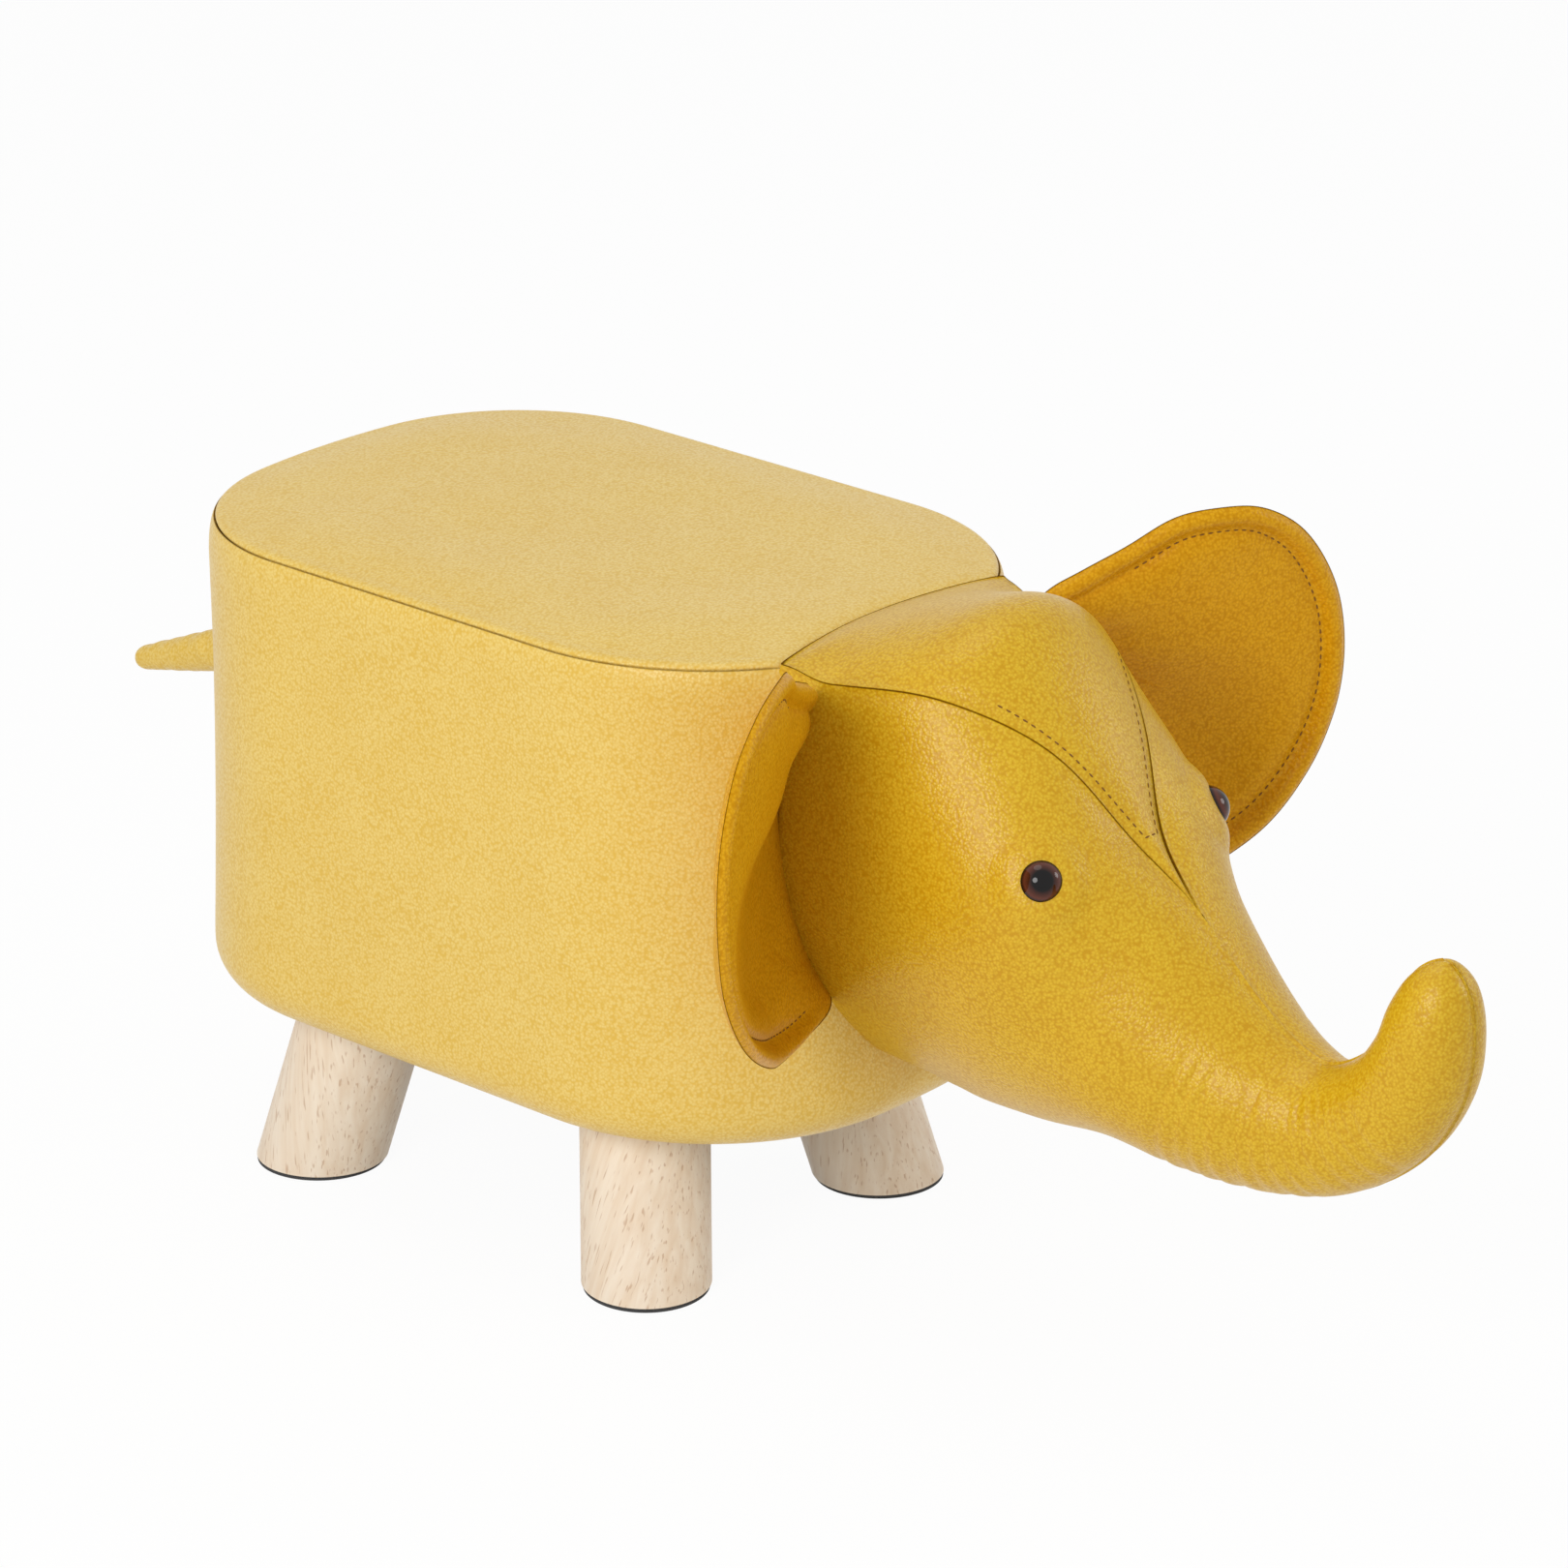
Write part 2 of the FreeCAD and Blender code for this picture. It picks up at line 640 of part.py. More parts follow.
def tail_form(inset):
    root = tail_root_radius - inset
    waist = tail_middle_radius - inset
    tip = tail_tip_radius - inset
    tip_centre = tail_length - tail_root_radius - tail_tip_radius
    diagonal = math.sqrt(0.5)
    points = {"start": Vector(root, 0, 0), "root_bulge": Vector(root * diagonal, 0, root * diagonal),
              "root_top": Vector(0, 0, root), "waist": Vector(-tip_centre * tail_middle_share, 0, waist),
              "tip_top": Vector(-tip_centre, 0, tip), "end": Vector(-tip_centre - tip, 0, 0),
              "tip_bulge": Vector(-tip_centre - tip * diagonal, 0, tip * diagonal)}
    profile = Part.Wire([arc_edge(points["start"], points["root_bulge"], points["root_top"]),
                         line_edge(points["root_top"], points["waist"]),
                         line_edge(points["waist"], points["tip_top"]),
                         arc_edge(points["tip_top"], points["tip_bulge"], points["end"]),
                         line_edge(points["end"], points["start"])])
    form = Part.Face(profile).revolve(Vector(0, 0, 0), Vector(1, 0, 0), full_turn_deg)
    form.rotate(Vector(0, 0, 0), Vector(0, 1, 0), -tail_droop_deg)
    form.translate(tail_root)
    return form


tail_fill = tail_form(tail_cover_thickness)
tail_cover = tail_form(0).cut(tail_fill)

nodes = {
    "side_cover": side_cover,
    "seat_cover": seat_cover,
    "side_foam": side_foam,
    "seat_foam": seat_foam,
    "dust_cover": dust_cover,
    "base_board": base_board,
    "seat_board": seat_board,
    "wall_panel": wall_panel,
    "post_screws": Part.makeCompound(screws),
    "leg_bolts": Part.makeCompound(bolts),
    "leg_washers": Part.makeCompound(washers),
    "leg_inserts": Part.makeCompound(inserts),
    "cover_staples": Part.makeCompound(staples),
    "head_fill": head_fill,
    "trunk_fill": trunk_fill,
    "forehead_panel": forehead_panel,
    "cheek_panel_left": cheek_left,
    "cheek_panel_right": cheek_right,
    "eye_left": eye_left,
    "eye_right": eye_right,
    "eye_washer_left": eye_washer_left,
    "eye_washer_right": eye_washer_right,
    "tail_cover": tail_cover,
    "tail_fill": tail_fill,
}
for piece, shape in ear_pieces.items():
    nodes["ear_left_" + piece] = shape
    nodes["ear_right_" + piece] = mirrored(shape)
for place in leg_places:
    nodes["leg_" + place] = legs[place]
    nodes["foot_pad_" + place] = foot_pads[place]
    nodes["post_" + place] = posts[place]

# The origin is on the floor, below the middle of the whole length.
extent = Part.makeCompound(list(nodes.values())).optimalBoundingBox()
to_origin = Vector(-(extent.XMin + extent.XMax) / 2, 0, 0)
os.makedirs("parts", exist_ok=True)
for name, shape in nodes.items():
    shape.translate(to_origin)
    shape.exportStep("parts/" + name + ".step")
    print(name, len(shape.Solids), shape.isValid(), round(shape.Volume))
print("overall", round(extent.XLength, 2), round(extent.YLength, 2), round(extent.ZMax, 2))
print("moved by", round(to_origin.x, 3))
print("ear axis", ear_axis + to_origin)
print("tail axis", tail_root + to_origin)
print("eye", eye_point + to_origin, eye_axis)
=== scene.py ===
"""Leather, stitching, wood and studio for an elephant-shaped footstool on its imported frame."""

import json
import math

import bmesh
import bpy
from mathutils import Matrix, Vector, noise
from mathutils.kdtree import KDTree


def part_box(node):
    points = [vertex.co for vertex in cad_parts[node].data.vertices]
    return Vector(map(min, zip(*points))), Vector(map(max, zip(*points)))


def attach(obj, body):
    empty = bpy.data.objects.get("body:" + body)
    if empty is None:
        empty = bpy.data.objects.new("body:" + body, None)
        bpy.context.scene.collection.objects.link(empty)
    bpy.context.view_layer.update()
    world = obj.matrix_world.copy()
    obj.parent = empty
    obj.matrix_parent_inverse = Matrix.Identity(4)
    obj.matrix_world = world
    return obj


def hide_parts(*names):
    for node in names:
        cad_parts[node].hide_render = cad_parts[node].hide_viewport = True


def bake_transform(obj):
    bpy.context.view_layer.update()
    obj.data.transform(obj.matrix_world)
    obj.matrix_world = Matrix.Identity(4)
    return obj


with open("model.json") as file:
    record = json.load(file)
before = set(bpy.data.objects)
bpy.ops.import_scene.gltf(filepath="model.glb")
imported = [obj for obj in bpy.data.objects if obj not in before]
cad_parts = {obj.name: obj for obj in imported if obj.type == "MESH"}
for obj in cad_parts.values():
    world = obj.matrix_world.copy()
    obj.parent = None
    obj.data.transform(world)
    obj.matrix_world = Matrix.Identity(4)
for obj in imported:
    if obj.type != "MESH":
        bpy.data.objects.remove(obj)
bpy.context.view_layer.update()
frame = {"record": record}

bl_info = {
    "name": "Elephant Footstool",
    "version": (1, 0, 0),
    "blender": (4, 5, 0),
    "location": "3D View > Sidebar > Footstool",
    "description": "Stuffed leather forms, stitching, wooden legs and a studio for a footstool",
    "category": "Add Mesh",
}

MM = 0.001
SIDE_LOW, SIDE_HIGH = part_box("side_cover")
HEM_FLARE = 3.0 * MM
BODY_X = (SIDE_LOW[0] + SIDE_HIGH[0]) / 2

JOINTS = {joint["name"]: joint for joint in frame["record"]["behaviour"]["joints"]}

# Sections of the stuffed head from the neck to the trunk, in mm: place along and height, lean in
# degrees, half width, level of the widest point, top of the forehead, depth of the chin, half
# width of the forehead panel and level of its seam.
HEAD_SECTIONS = (
    (54.3, 215.0, 0, 77.0, 18.1, 92.8, 96.0, 74.1, 81.9),
    (85.3, 215.0, 0, 78.1, 20.0, 112.3, 97.9, 75.0, 97.9),
    (116.3, 215.0, 2, 79.0, 20.0, 124.6, 99.8, 67.5, 103.0),
    (146.3, 214.0, 8, 80.0, 21.1, 133.2, 101.4, 55.4, 105.1),
    (173.4, 208.0, 17, 79.2, 23.0, 101.6, 100.5, 31.0, 94.0),
    (199.1, 196.0, 25, 74.1, 18.1, 73.1, 94.0, 10.1, 70.1),
    (224.2, 182.0, 28, 62.2, 6.0, 62.2, 79.8, 1.4, 61.7),
)
# Round sections of the trunk to its upturned tip: place along, height, lean and radius.
TRUNK_SECTIONS = (
    (250.9, 166.5, 25, 55.5),
    (280.0, 155.4, 17, 46.1),
    (310.0, 149.6, 3, 37.1),
    (340.0, 152.6, -20, 30.5),
    (366.4, 170.2, -43, 27.8),
    (381.0, 193.6, -65, 25.6),
    (385.9, 215.2, -77, 22.9),
    (388.5, 231.2, -82, 17.5),
    (389.9, 240.3, -83, 10.0),
    (390.2, 244.2, -83, 2.5),
)
# The ear's outline laid flat, in mm: out from its sewn root and above the floor.
EAR_OUTLINE = (
    (0, 163), (22, 154), (46, 155), (82, 168), (118, 188), (140, 212), (152.5, 238), (157, 265),
    (154.5, 292), (145.5, 315), (131, 334), (111, 346), (90, 348.5), (69, 346), (47, 334),
    (26, 325), (9, 317), (1, 304), (0, 280), (0, 240), (0, 212), (0, 186),
)
EAR_MIDDLE = (78, 252)
# Heights where the two tables below start, and the step down from one entry to the next, in mm.
EAR_ROOT_TOP, EAR_RIM_TOP, EAR_STEP = 316, 300, 20
# Where the ear's root is sewn into the join of cheek and body, in mm from its top down: how far
# the root leaves a straight line across and backwards.
EAR_ROOT = (
    (0.0, -15.0), (-7.0, -6.0), (-13.0, 1.5), (-14.0, 4.5), (-12.0, 3.0), (-9.5, 0.0),
    (-10.0, -4.8), (-13.0, -11.3), (-18.6, -20.6),
)
# How far back the ear's rim bends, in mm from its top down on a line that falls towards the rim.
EAR_RIM = (
    (-12.0,), (-5.0,), (1.0,), (4.4,), (6.4,), (7.0,), (6.5,), (5.0,), (0.0,), (-10.0,),
)
EAR_SWEEP = math.radians(35)
# Distance of the hem's stitching from the ear's rim, in mm.
HEM = 12.0
# Middle of the left eye's seat in metres, and the way the eye looks.
EYE_SPOT = Vector((0.218924, 0.059498, 0.250936))
EYE_LOOK = Vector((0.645, 0.636, 0.424))
# Half width in mm at which the forehead panel's two seams have met.
GUSSET_END = 0.6
# The seam between seat and forehead, in mm: half its width, its place ahead of the body's middle
# and how far it bows back, its rise above the seat's edge and how far it falls to its ends.
BROW_HALF, BROW_AHEAD, BROW_BOW, BROW_RISE, BROW_FALL = 77, 164, 8, 3.4, 2.6


def linear(code):
    """Linear colour of an sRGB hex value."""
    parts = [int(code[k:k + 2], 16) / 255 for k in (1, 3, 5)]
    return tuple(p / 12.92 if p <= 0.04045 else ((p + 0.055) / 1.055) ** 2.4 for p in parts)


def length_setting(name, description, default):
    """A length in the sidebar, in metres."""
    return bpy.props.FloatProperty(name=name, description=description, unit="LENGTH",
                                   default=default)


def colour_setting(name, description, code):
    """A colour in the sidebar from its sRGB hex value."""
    return bpy.props.FloatVectorProperty(name=name, description=description, subtype="COLOR",
                                         default=linear(code))


class FootstoolSizes(bpy.types.PropertyGroup):
    """Sizes of the upholstered body."""
    body_length: length_setting("Body length", "Length of the body at the seat seam",
                                SIDE_HIGH[0] - SIDE_LOW[0] - 2 * HEM_FLARE)
    body_width: length_setting("Body width", "Width of the body at the seat seam",
                               SIDE_HIGH[1] - SIDE_LOW[1] - 2 * HEM_FLARE)
    underside: length_setting("Underside", "Height of the body's underside", SIDE_LOW[2])
    seat_edge: length_setting("Seat edge", "Height of the seat's rolled edge", 0.320)
    seat_crown: length_setting("Seat crown", "Rise of the seat from its edge to its middle", 0.004)
    stitch_pitch: length_setting("Stitch pitch", "Distance from one stitch to the next", 0.0042)


class FootstoolColours(bpy.types.PropertyGroup):
    """Colours of the footstool's finishes."""
    # The body's and tail's pair is painted paler than the head's as painted sheen; the raised
    # colour carries painted glints and the grain colour painted shade in the hollows.
    body_raised_painted_light: colour_setting("Body leather", "Raised grain of the leather on body and tail",
                                "#EBCE78")
    body_hollow_painted_light: colour_setting("Body grain", "Hollows of the grain on body and tail", "#DEB64C")
    # The head's pair is painted deeper amber than the body's as painted shade; the raised colour
    # carries painted glints and the grain colour painted shade in the hollows.
    head_raised_painted_light: colour_setting("Head leather", "Raised grain of the leather of the head",
                                "#DFB828")
    head_hollow_painted_light: colour_setting("Head grain", "Hollows of the grain on the head", "#C99708")
    # The ears' pair is painted deeper amber again as painted shade in the cupped ears; the raised
    # colour carries painted glints and the grain colour painted shade in the hollows.
    ear_raised_painted_light: colour_setting("Ear leather", "Raised grain of the leather of the ears", "#E6AC1A")
    ear_hollow_painted_light: colour_setting("Ear grain", "Hollows of the grain on the ears", "#CC8E02")
    thread: colour_setting("Thread", "Sewing thread and needle holes", "#5C3206")
    wood: colour_setting("Wood", "Pale wood of the legs", "#F3E5D2")
    wood_grain: colour_setting("Wood grain", "Darker growth lines of the legs", "#E0C6A8")


def sizes():
    return bpy.context.scene.footstool_sizes


def colours():
    return bpy.context.scene.footstool_colours


def smooth(low, high, value):
    """Eases from 0 at low to 1 at high."""
    share = min(1.0, max(0.0, (value - low) / (high - low)))
    return share * share * (3 - 2 * share)


def between(points, place, closed=False):
    """A point of the smooth curve through a row of points; place counts points along it."""
    count = len(points)
    first = math.floor(place) if closed else min(count - 2, max(0, math.floor(place)))
    share = place - first
    picked = []
    for k in range(first - 1, first + 3):
        picked.append(points[k % count] if closed else points[min(count - 1, max(0, k))])
    result = []
    for a, b, c, d in zip(*picked):
        result.append(b + share * (c - a + share * (2 * a - 5 * b + 4 * c - d
                                                    + share * (3 * (b - c) + d - a))) / 2)
    return result


def spaced(run, count):
    """Evenly spaced entries of a closed run of (point, direction)."""
    lengths = [0.0]
    for k, (point, direction) in enumerate(run):
        lengths.append(lengths[-1] + (run[(k + 1) % len(run)][0] - point).length)
    picked, k = [], 0
    for step in range(count):
        wanted = lengths[-1] * step / count
        while lengths[k + 1] < wanted:
            k += 1
        share = (wanted - lengths[k]) / max(1e-9, lengths[k + 1] - lengths[k])
        here, there = run[k], run[(k + 1) % len(run)]
        picked.append((here[0].lerp(there[0], share), here[1].lerp(there[1], share).normalized()))
    return picked


def skin(name, columns, rows, place, sewn=None):
    """A grid bent into a closed form. place gives a point for each column and row."""
    mesh = bmesh.new()
    bmesh.ops.create_grid(mesh, x_segments=columns, y_segments=rows, size=1)
    mark = mesh.verts.layers.int.new("sewn")
    for vert in mesh.verts:
        column = round((vert.co.x + 1) / 2 * columns)
        row = round((vert.co.y + 1) / 2 * rows)
        vert.co = place(column, row)
        vert[mark] = int(bool(sewn and sewn(column % columns, row)))
    bmesh.ops.remove_doubles(mesh, verts=mesh.verts, dist=2e-5)
    bmesh.ops.dissolve_degenerate(mesh, edges=mesh.edges, dist=1e-6)
    bmesh.ops.recalc_face_normals(mesh, faces=mesh.faces)
    return placed(name, mesh)


def placed(name, mesh):
    """Makes an object of a finished bmesh and links it to the scene."""
    data = bpy.data.meshes.new(name)
    mesh.to_mesh(data)
    mesh.free()
    data.shade_smooth()
    made = bpy.data.objects.new(name, data)
    bpy.context.scene.collection.objects.link(made)
    return made


def puff(piece, held, pressure, reach):
    """Fills a sewn form with a short cloth run; held points stay and none moves past reach."""
    scene, frames = bpy.context.scene, 20
    rest = [vert.co.copy() for vert in piece.data.vertices]
    group = piece.vertex_groups.new(name="held")
    group.add(held, 1.0, "REPLACE")
    filling = piece.modifiers.new("Filling", "CLOTH")
    filling.settings.quality = 5
    filling.settings.mass = 0.3
    filling.settings.tension_stiffness = 12
    filling.settings.compression_stiffness = 12
    filling.settings.bending_stiffness = 0.6
    filling.settings.use_pressure = True
    filling.settings.uniform_pressure_force = pressure
    filling.settings.vertex_group_mass = "held"
    filling.settings.effector_weights.gravity = 0
    filling.point_cache.frame_start = 1
    filling.point_cache.frame_end = frames
    for step in range(1, frames + 1):
        scene.frame_set(step)
    ready = piece.evaluated_get(bpy.context.evaluated_depsgraph_get())
    moved = [vert.co.copy() for vert in ready.data.vertices]
    piece.modifiers.remove(filling)
    piece.vertex_groups.remove(group)
    scene.frame_set(1)
    for vert, start, end in zip(piece.data.vertices, rest, moved):
        step = end - start
        if step.length > reach:
            step *= reach / step.length
        vert.co = start + step


def refine(piece, levels):
    """Bakes subdivision into the piece, with its sewn edges split so they stay crisp."""
    mesh = bmesh.new()
    mesh.from_mesh(piece.data)
    mark = mesh.verts.layers.int.get("sewn")
    if mark is not None:
        seams = [e for e in mesh.edges if e.verts[0][mark] and e.verts[1][mark]]
        bmesh.ops.split_edges(mesh, edges=seams)
    mesh.to_mesh(piece.data)
    mesh.free()
    finer = piece.modifiers.new("Finer", "SUBSURF")
    finer.levels = finer.render_levels = levels
    ready = piece.evaluated_get(bpy.context.evaluated_depsgraph_get())
    data = bpy.data.meshes.new_from_object(ready)
    piece.modifiers.remove(finer)
    piece.data = data
    piece.data.name = piece.name


def sew(piece, depth, width, extra=(), fade=None):
    """Draws the skin into its seams, closes them and keeps each point's distance from a seam;
    fade adds to the distance where the thread hardly shows."""
    mesh = bmesh.new()
    mesh.from_mesh(piece.data)
    gap_layer = mesh.verts.layers.float.new("seam_mm")
    mesh.normal_update()
    seam = [vert.co.copy() for vert in mesh.verts if vert.is_boundary] + list(extra)
    near = KDTree(len(seam))
    for k, point in enumerate(seam):
        near.insert(point, k)
    near.balance()
    gaps = {vert: near.find(vert.co)[2] for vert in mesh.verts}
    pulls = [(vert, vert.normal * depth * math.exp(-(gaps[vert] / width) ** 1.3))
             for vert in mesh.verts if depth and not vert.is_boundary]
    for vert, pull in pulls:
        vert.co -= pull
    for vert in mesh.verts:
        vert[gap_layer] = gaps[vert] / MM + (fade(vert.co) if fade else 0)
    edge = [vert for vert in mesh.verts if vert.is_boundary]
    bmesh.ops.remove_doubles(mesh, verts=edge, dist=2e-5)
    mesh.to_mesh(piece.data)
    mesh.free()
    piece.data.shade_smooth()


def finish_leather(piece, material, nodes, body="stool"):
    """Gives a stuffed piece its leather, hides the CAD nodes it stands in for and attaches it to
    the body it rides on.
    """
    piece.data.materials.clear()
    piece.data.materials.append(material)
    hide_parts(*nodes)
    if body:
        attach(piece, body)


# Finishes


def add(tree, kind, sockets=None, **settings):
    """Adds a node with its settings; sockets take a value or another node's output."""
    node = tree.nodes.new(kind)
    for name, value in settings.items():
        setattr(node, name, value)
    for name, value in (sockets or {}).items():
        if isinstance(value, bpy.types.NodeSocket):
            tree.links.new(value, node.inputs[name])
        else:
            node.inputs[name].default_value = value
    return node


def finish_named(name):
    """The finish of that name, or an empty one with its tree and a new shader."""
    made = bpy.data.materials.get(name)
    if made:
        return made, None, None
    made = bpy.data.materials.new(name)
    made.use_nodes = True
    tree = made.node_tree
    tree.nodes.clear()
    shader = add(tree, "ShaderNodeBsdfPrincipled")
    add(tree, "ShaderNodeOutputMaterial", {"Surface": shader.outputs["BSDF"]})
    return made, tree, shader


def rgba(colour):
    return (*colour, 1.0)


def ramp(tree, value, low, high, first=0.0, last=1.0):
    """Maps a value between low and high onto first to last."""
    node = add(tree, "ShaderNodeMapRange", {"Value": value, "From Min": low, "From Max": high,
                                            "To Min": first, "To Max": last})
    return node.outputs["Result"]


def two_tones(tree, share, first, second):
    """Mixes two colours, each a colour or another node's output."""
    node = add(tree, "ShaderNodeMix", {0: share, 6: first, 7: second}, data_type="RGBA")
    return node.outputs[2]


def mottle(tree, where, size_mm, detail=2.0):
    """Noise with spots of a real size."""
    node = add(tree, "ShaderNodeTexNoise", {"Vector": where, "Scale": 1 / (size_mm * MM),
                                            "Detail": detail})
    return node.outputs["Fac"]


def dress(tree, shader, tone, bump=None):
    """Gives the shader its colour and, where there is one, its bump."""
    tree.links.new(tone, shader.inputs["Base Color"])
    if bump:
        tree.links.new(bump.outputs["Normal"], shader.inputs["Normal"])


def pebbled_leather(where_used):
    """Embossed faux leather: a satin skin with a fine pebble grain, painted paler on the raised
    grain as painted glints and amber in its hollows as painted shade, with dark needle lines along
    the seams. Its colours are painted paler on the body and tail as painted sheen and deeper amber
    on the stuffed head and the ears as painted shade."""
    made, tree, shader = finish_named("pebbled_leather_painted_light_" + where_used)
    if tree is None:
        return made
    # Chooses the pair of colours: the body's and tail's pair is painted paler as sheen, the head's
    # and the ears' pairs deeper amber as painted shade.
    tones = {"ears": "ear", "head": "head"}.get(where_used, "body")
    raised = rgba(getattr(colours(), tones + "_raised_painted_light"))
    hollows = rgba(getattr(colours(), tones + "_hollow_painted_light"))
    grain_mm, fine_mm, broad_mm = 1.35, 0.7, 30.0
    patch_share, fine_share, grain_depth = 0.07, 0.35, 0.00025
    line_mm, line_end_mm, dull_mm, satin_mm = 0.15, 0.65, 0.3, 1.0
    satin = 0.32 if where_used in ("body", "head") else 0.12
    where = add(tree, "ShaderNodeTexCoord").outputs["Object"]
    cells = add(tree, "ShaderNodeTexVoronoi", {"Vector": where, "Scale": 1 / (grain_mm * MM),
                                               "Smoothness": 0.5}, feature="SMOOTH_F1")
    # The grain's hollows take the darker colour as painted shade and its raised tips the paler one
    # as painted glints; the broad patches are random tone.
    hollow = ramp(tree, cells.outputs["Distance"], 0.15, 0.75)
    patch = ramp(tree, mottle(tree, where, broad_mm, 3.0), 0.35, 0.65, -patch_share, patch_share)
    depth = add(tree, "ShaderNodeMath", {0: hollow, 1: patch}, operation="ADD", use_clamp=True)
    tone = two_tones(tree, depth.outputs[0], raised, hollows)
    gap = add(tree, "ShaderNodeAttribute", attribute_name="seam_mm").outputs["Fac"]
    line = ramp(tree, gap, line_mm, line_end_mm, 0.9, 0.0)
    height = add(tree, "ShaderNodeMath", {0: mottle(tree, where, fine_mm), 1: fine_share,
                                          2: hollow}, operation="MULTIPLY_ADD")
    bump = add(tree, "ShaderNodeBump", {"Strength": 0.55, "Distance": grain_depth,
                                        "Height": height.outputs[0]}, invert=True)
    dress(tree, shader, two_tones(tree, line, tone, rgba(colours().thread)), bump)
    tree.links.new(ramp(tree, hollow, 0.0, 1.0, 0.28, 0.38), shader.inputs["Roughness"])
    tree.links.new(ramp(tree, gap, dull_mm, satin_mm, 0.0, satin),
                   shader.inputs["Specular IOR Level"])
    shader.inputs["IOR"].default_value = 1.5
    return made


def sewing_thread():
    """Bonded polyester thread: dull brown with a fine twist."""
    made, tree, shader = finish_named("sewing_thread")
    if tree is None:
        return made
    twist_mm = 0.6
    where = add(tree, "ShaderNodeTexCoord").outputs["Object"]
    dress(tree, shader, two_tones(tree, mottle(tree, where, twist_mm), rgba(colours().thread),
                                  rgba(linear("#94651A"))))
    shader.inputs["Roughness"].default_value = 0.75
    return made


def turned_wood(name, lean):
    """Rubberwood turned and matt lacquered: pale, with long faint growth lines and short pores
    that run along the leg."""
    made, tree, shader = finish_named(name)
    if tree is None:
        return made
    line_mm, length_mm, pore_mm, pore_length_mm, pore_depth = 5.0, 160.0, 1.3, 14.0, 0.0002
    where = add(tree, "ShaderNodeTexCoord").outputs["Object"]
    turned = add(tree, "ShaderNodeMapping", {"Vector": where, "Rotation": lean}).outputs["Vector"]

    def streaks(wide_mm, long_mm, **look):
        scale = (1 / (wide_mm * MM), 1 / (wide_mm * MM), 1 / (long_mm * MM))
        drawn = add(tree, "ShaderNodeMapping", {"Vector": turned, "Scale": scale})
        node = add(tree, "ShaderNodeTexNoise", {"Vector": drawn.outputs["Vector"], "Scale": 1.0,
                                                **look})
        return node.outputs["Fac"]

    band = ramp(tree, streaks(line_mm, length_mm, Detail=4.0, Distortion=0.4), 0.35, 0.75, 0, 0.75)
    speck = ramp(tree, streaks(pore_mm, pore_length_mm, Detail=1.0), 0.62, 0.72, 0, 0.55)
    pale = two_tones(tree, band, rgba(colours().wood), rgba(colours().wood_grain))
    bump = add(tree, "ShaderNodeBump", {"Strength": 0.15, "Distance": pore_depth,
                                        "Height": speck}, invert=True)
    dress(tree, shader, two_tones(tree, speck, pale, rgba(linear("#B98E68"))), bump)
    shader.inputs["Roughness"].default_value = 0.48
    return made


def fitting(name, base, other, rough, grain_mm, metallic=0.0, stretch=(1, 1, 1), bump_mm=0.05):
    """A small part's finish: two close tones and a bump from a grain of a real size."""
    made, tree, shader = finish_named(name)
    if tree is None:
        return made
    where = add(tree, "ShaderNodeTexCoord").outputs["Object"]
    scaled = add(tree, "ShaderNodeMapping", {"Vector": where, "Scale": stretch})
    grain = mottle(tree, scaled.outputs["Vector"], grain_mm, 3.0)
    bump = add(tree, "ShaderNodeBump", {"Strength": 0.3, "Distance": bump_mm * MM,
                                        "Height": grain})
    dress(tree, shader, two_tones(tree, grain, rgba(linear(base)), rgba(linear(other))), bump)
    shader.inputs["Roughness"].default_value = rough
    shader.inputs["Metallic"].default_value = metallic
    return made


def glossy_eye(name, spot, out):
    """Cast acrylic eye: a clear gloss over a black pupil, with a dark brown ring painted round it
    as the reflection of the leather at the dome's edge, and darker again at the very edge.
    """
    made, tree, shader = finish_named(name)
    if tree is None:
        return made
    pupil_mm, pupil_end_mm, rim_mm, rim_end_mm = 4.4, 7.6, 7.7, 8.6
    where = add(tree, "ShaderNodeTexCoord").outputs["Object"]
    offset = add(tree, "ShaderNodeVectorMath", {0: where, 1: spot}, operation="SUBTRACT")
    across = add(tree, "ShaderNodeVectorMath", {0: offset.outputs[0], 1: out},
                 operation="CROSS_PRODUCT")
    radius = add(tree, "ShaderNodeVectorMath", {0: across.outputs[0]}, operation="LENGTH")
    # Share of the brown ring, a painted reflection of the leather round the eye, from the pupil
    # out.
    painted_reflection = ramp(tree, radius.outputs["Value"], pupil_mm * MM, pupil_end_mm * MM)
    rim = ramp(tree, radius.outputs["Value"], rim_mm * MM, rim_end_mm * MM)
    brown = two_tones(tree, painted_reflection, rgba(linear("#050303")), rgba(linear("#5E2E1E")))
    dress(tree, shader, two_tones(tree, rim, brown, rgba(linear("#1C0B08"))))
    shader.inputs["Roughness"].default_value = 0.05
    shader.inputs["IOR"].default_value = 1.35
    return made


# Body and seat


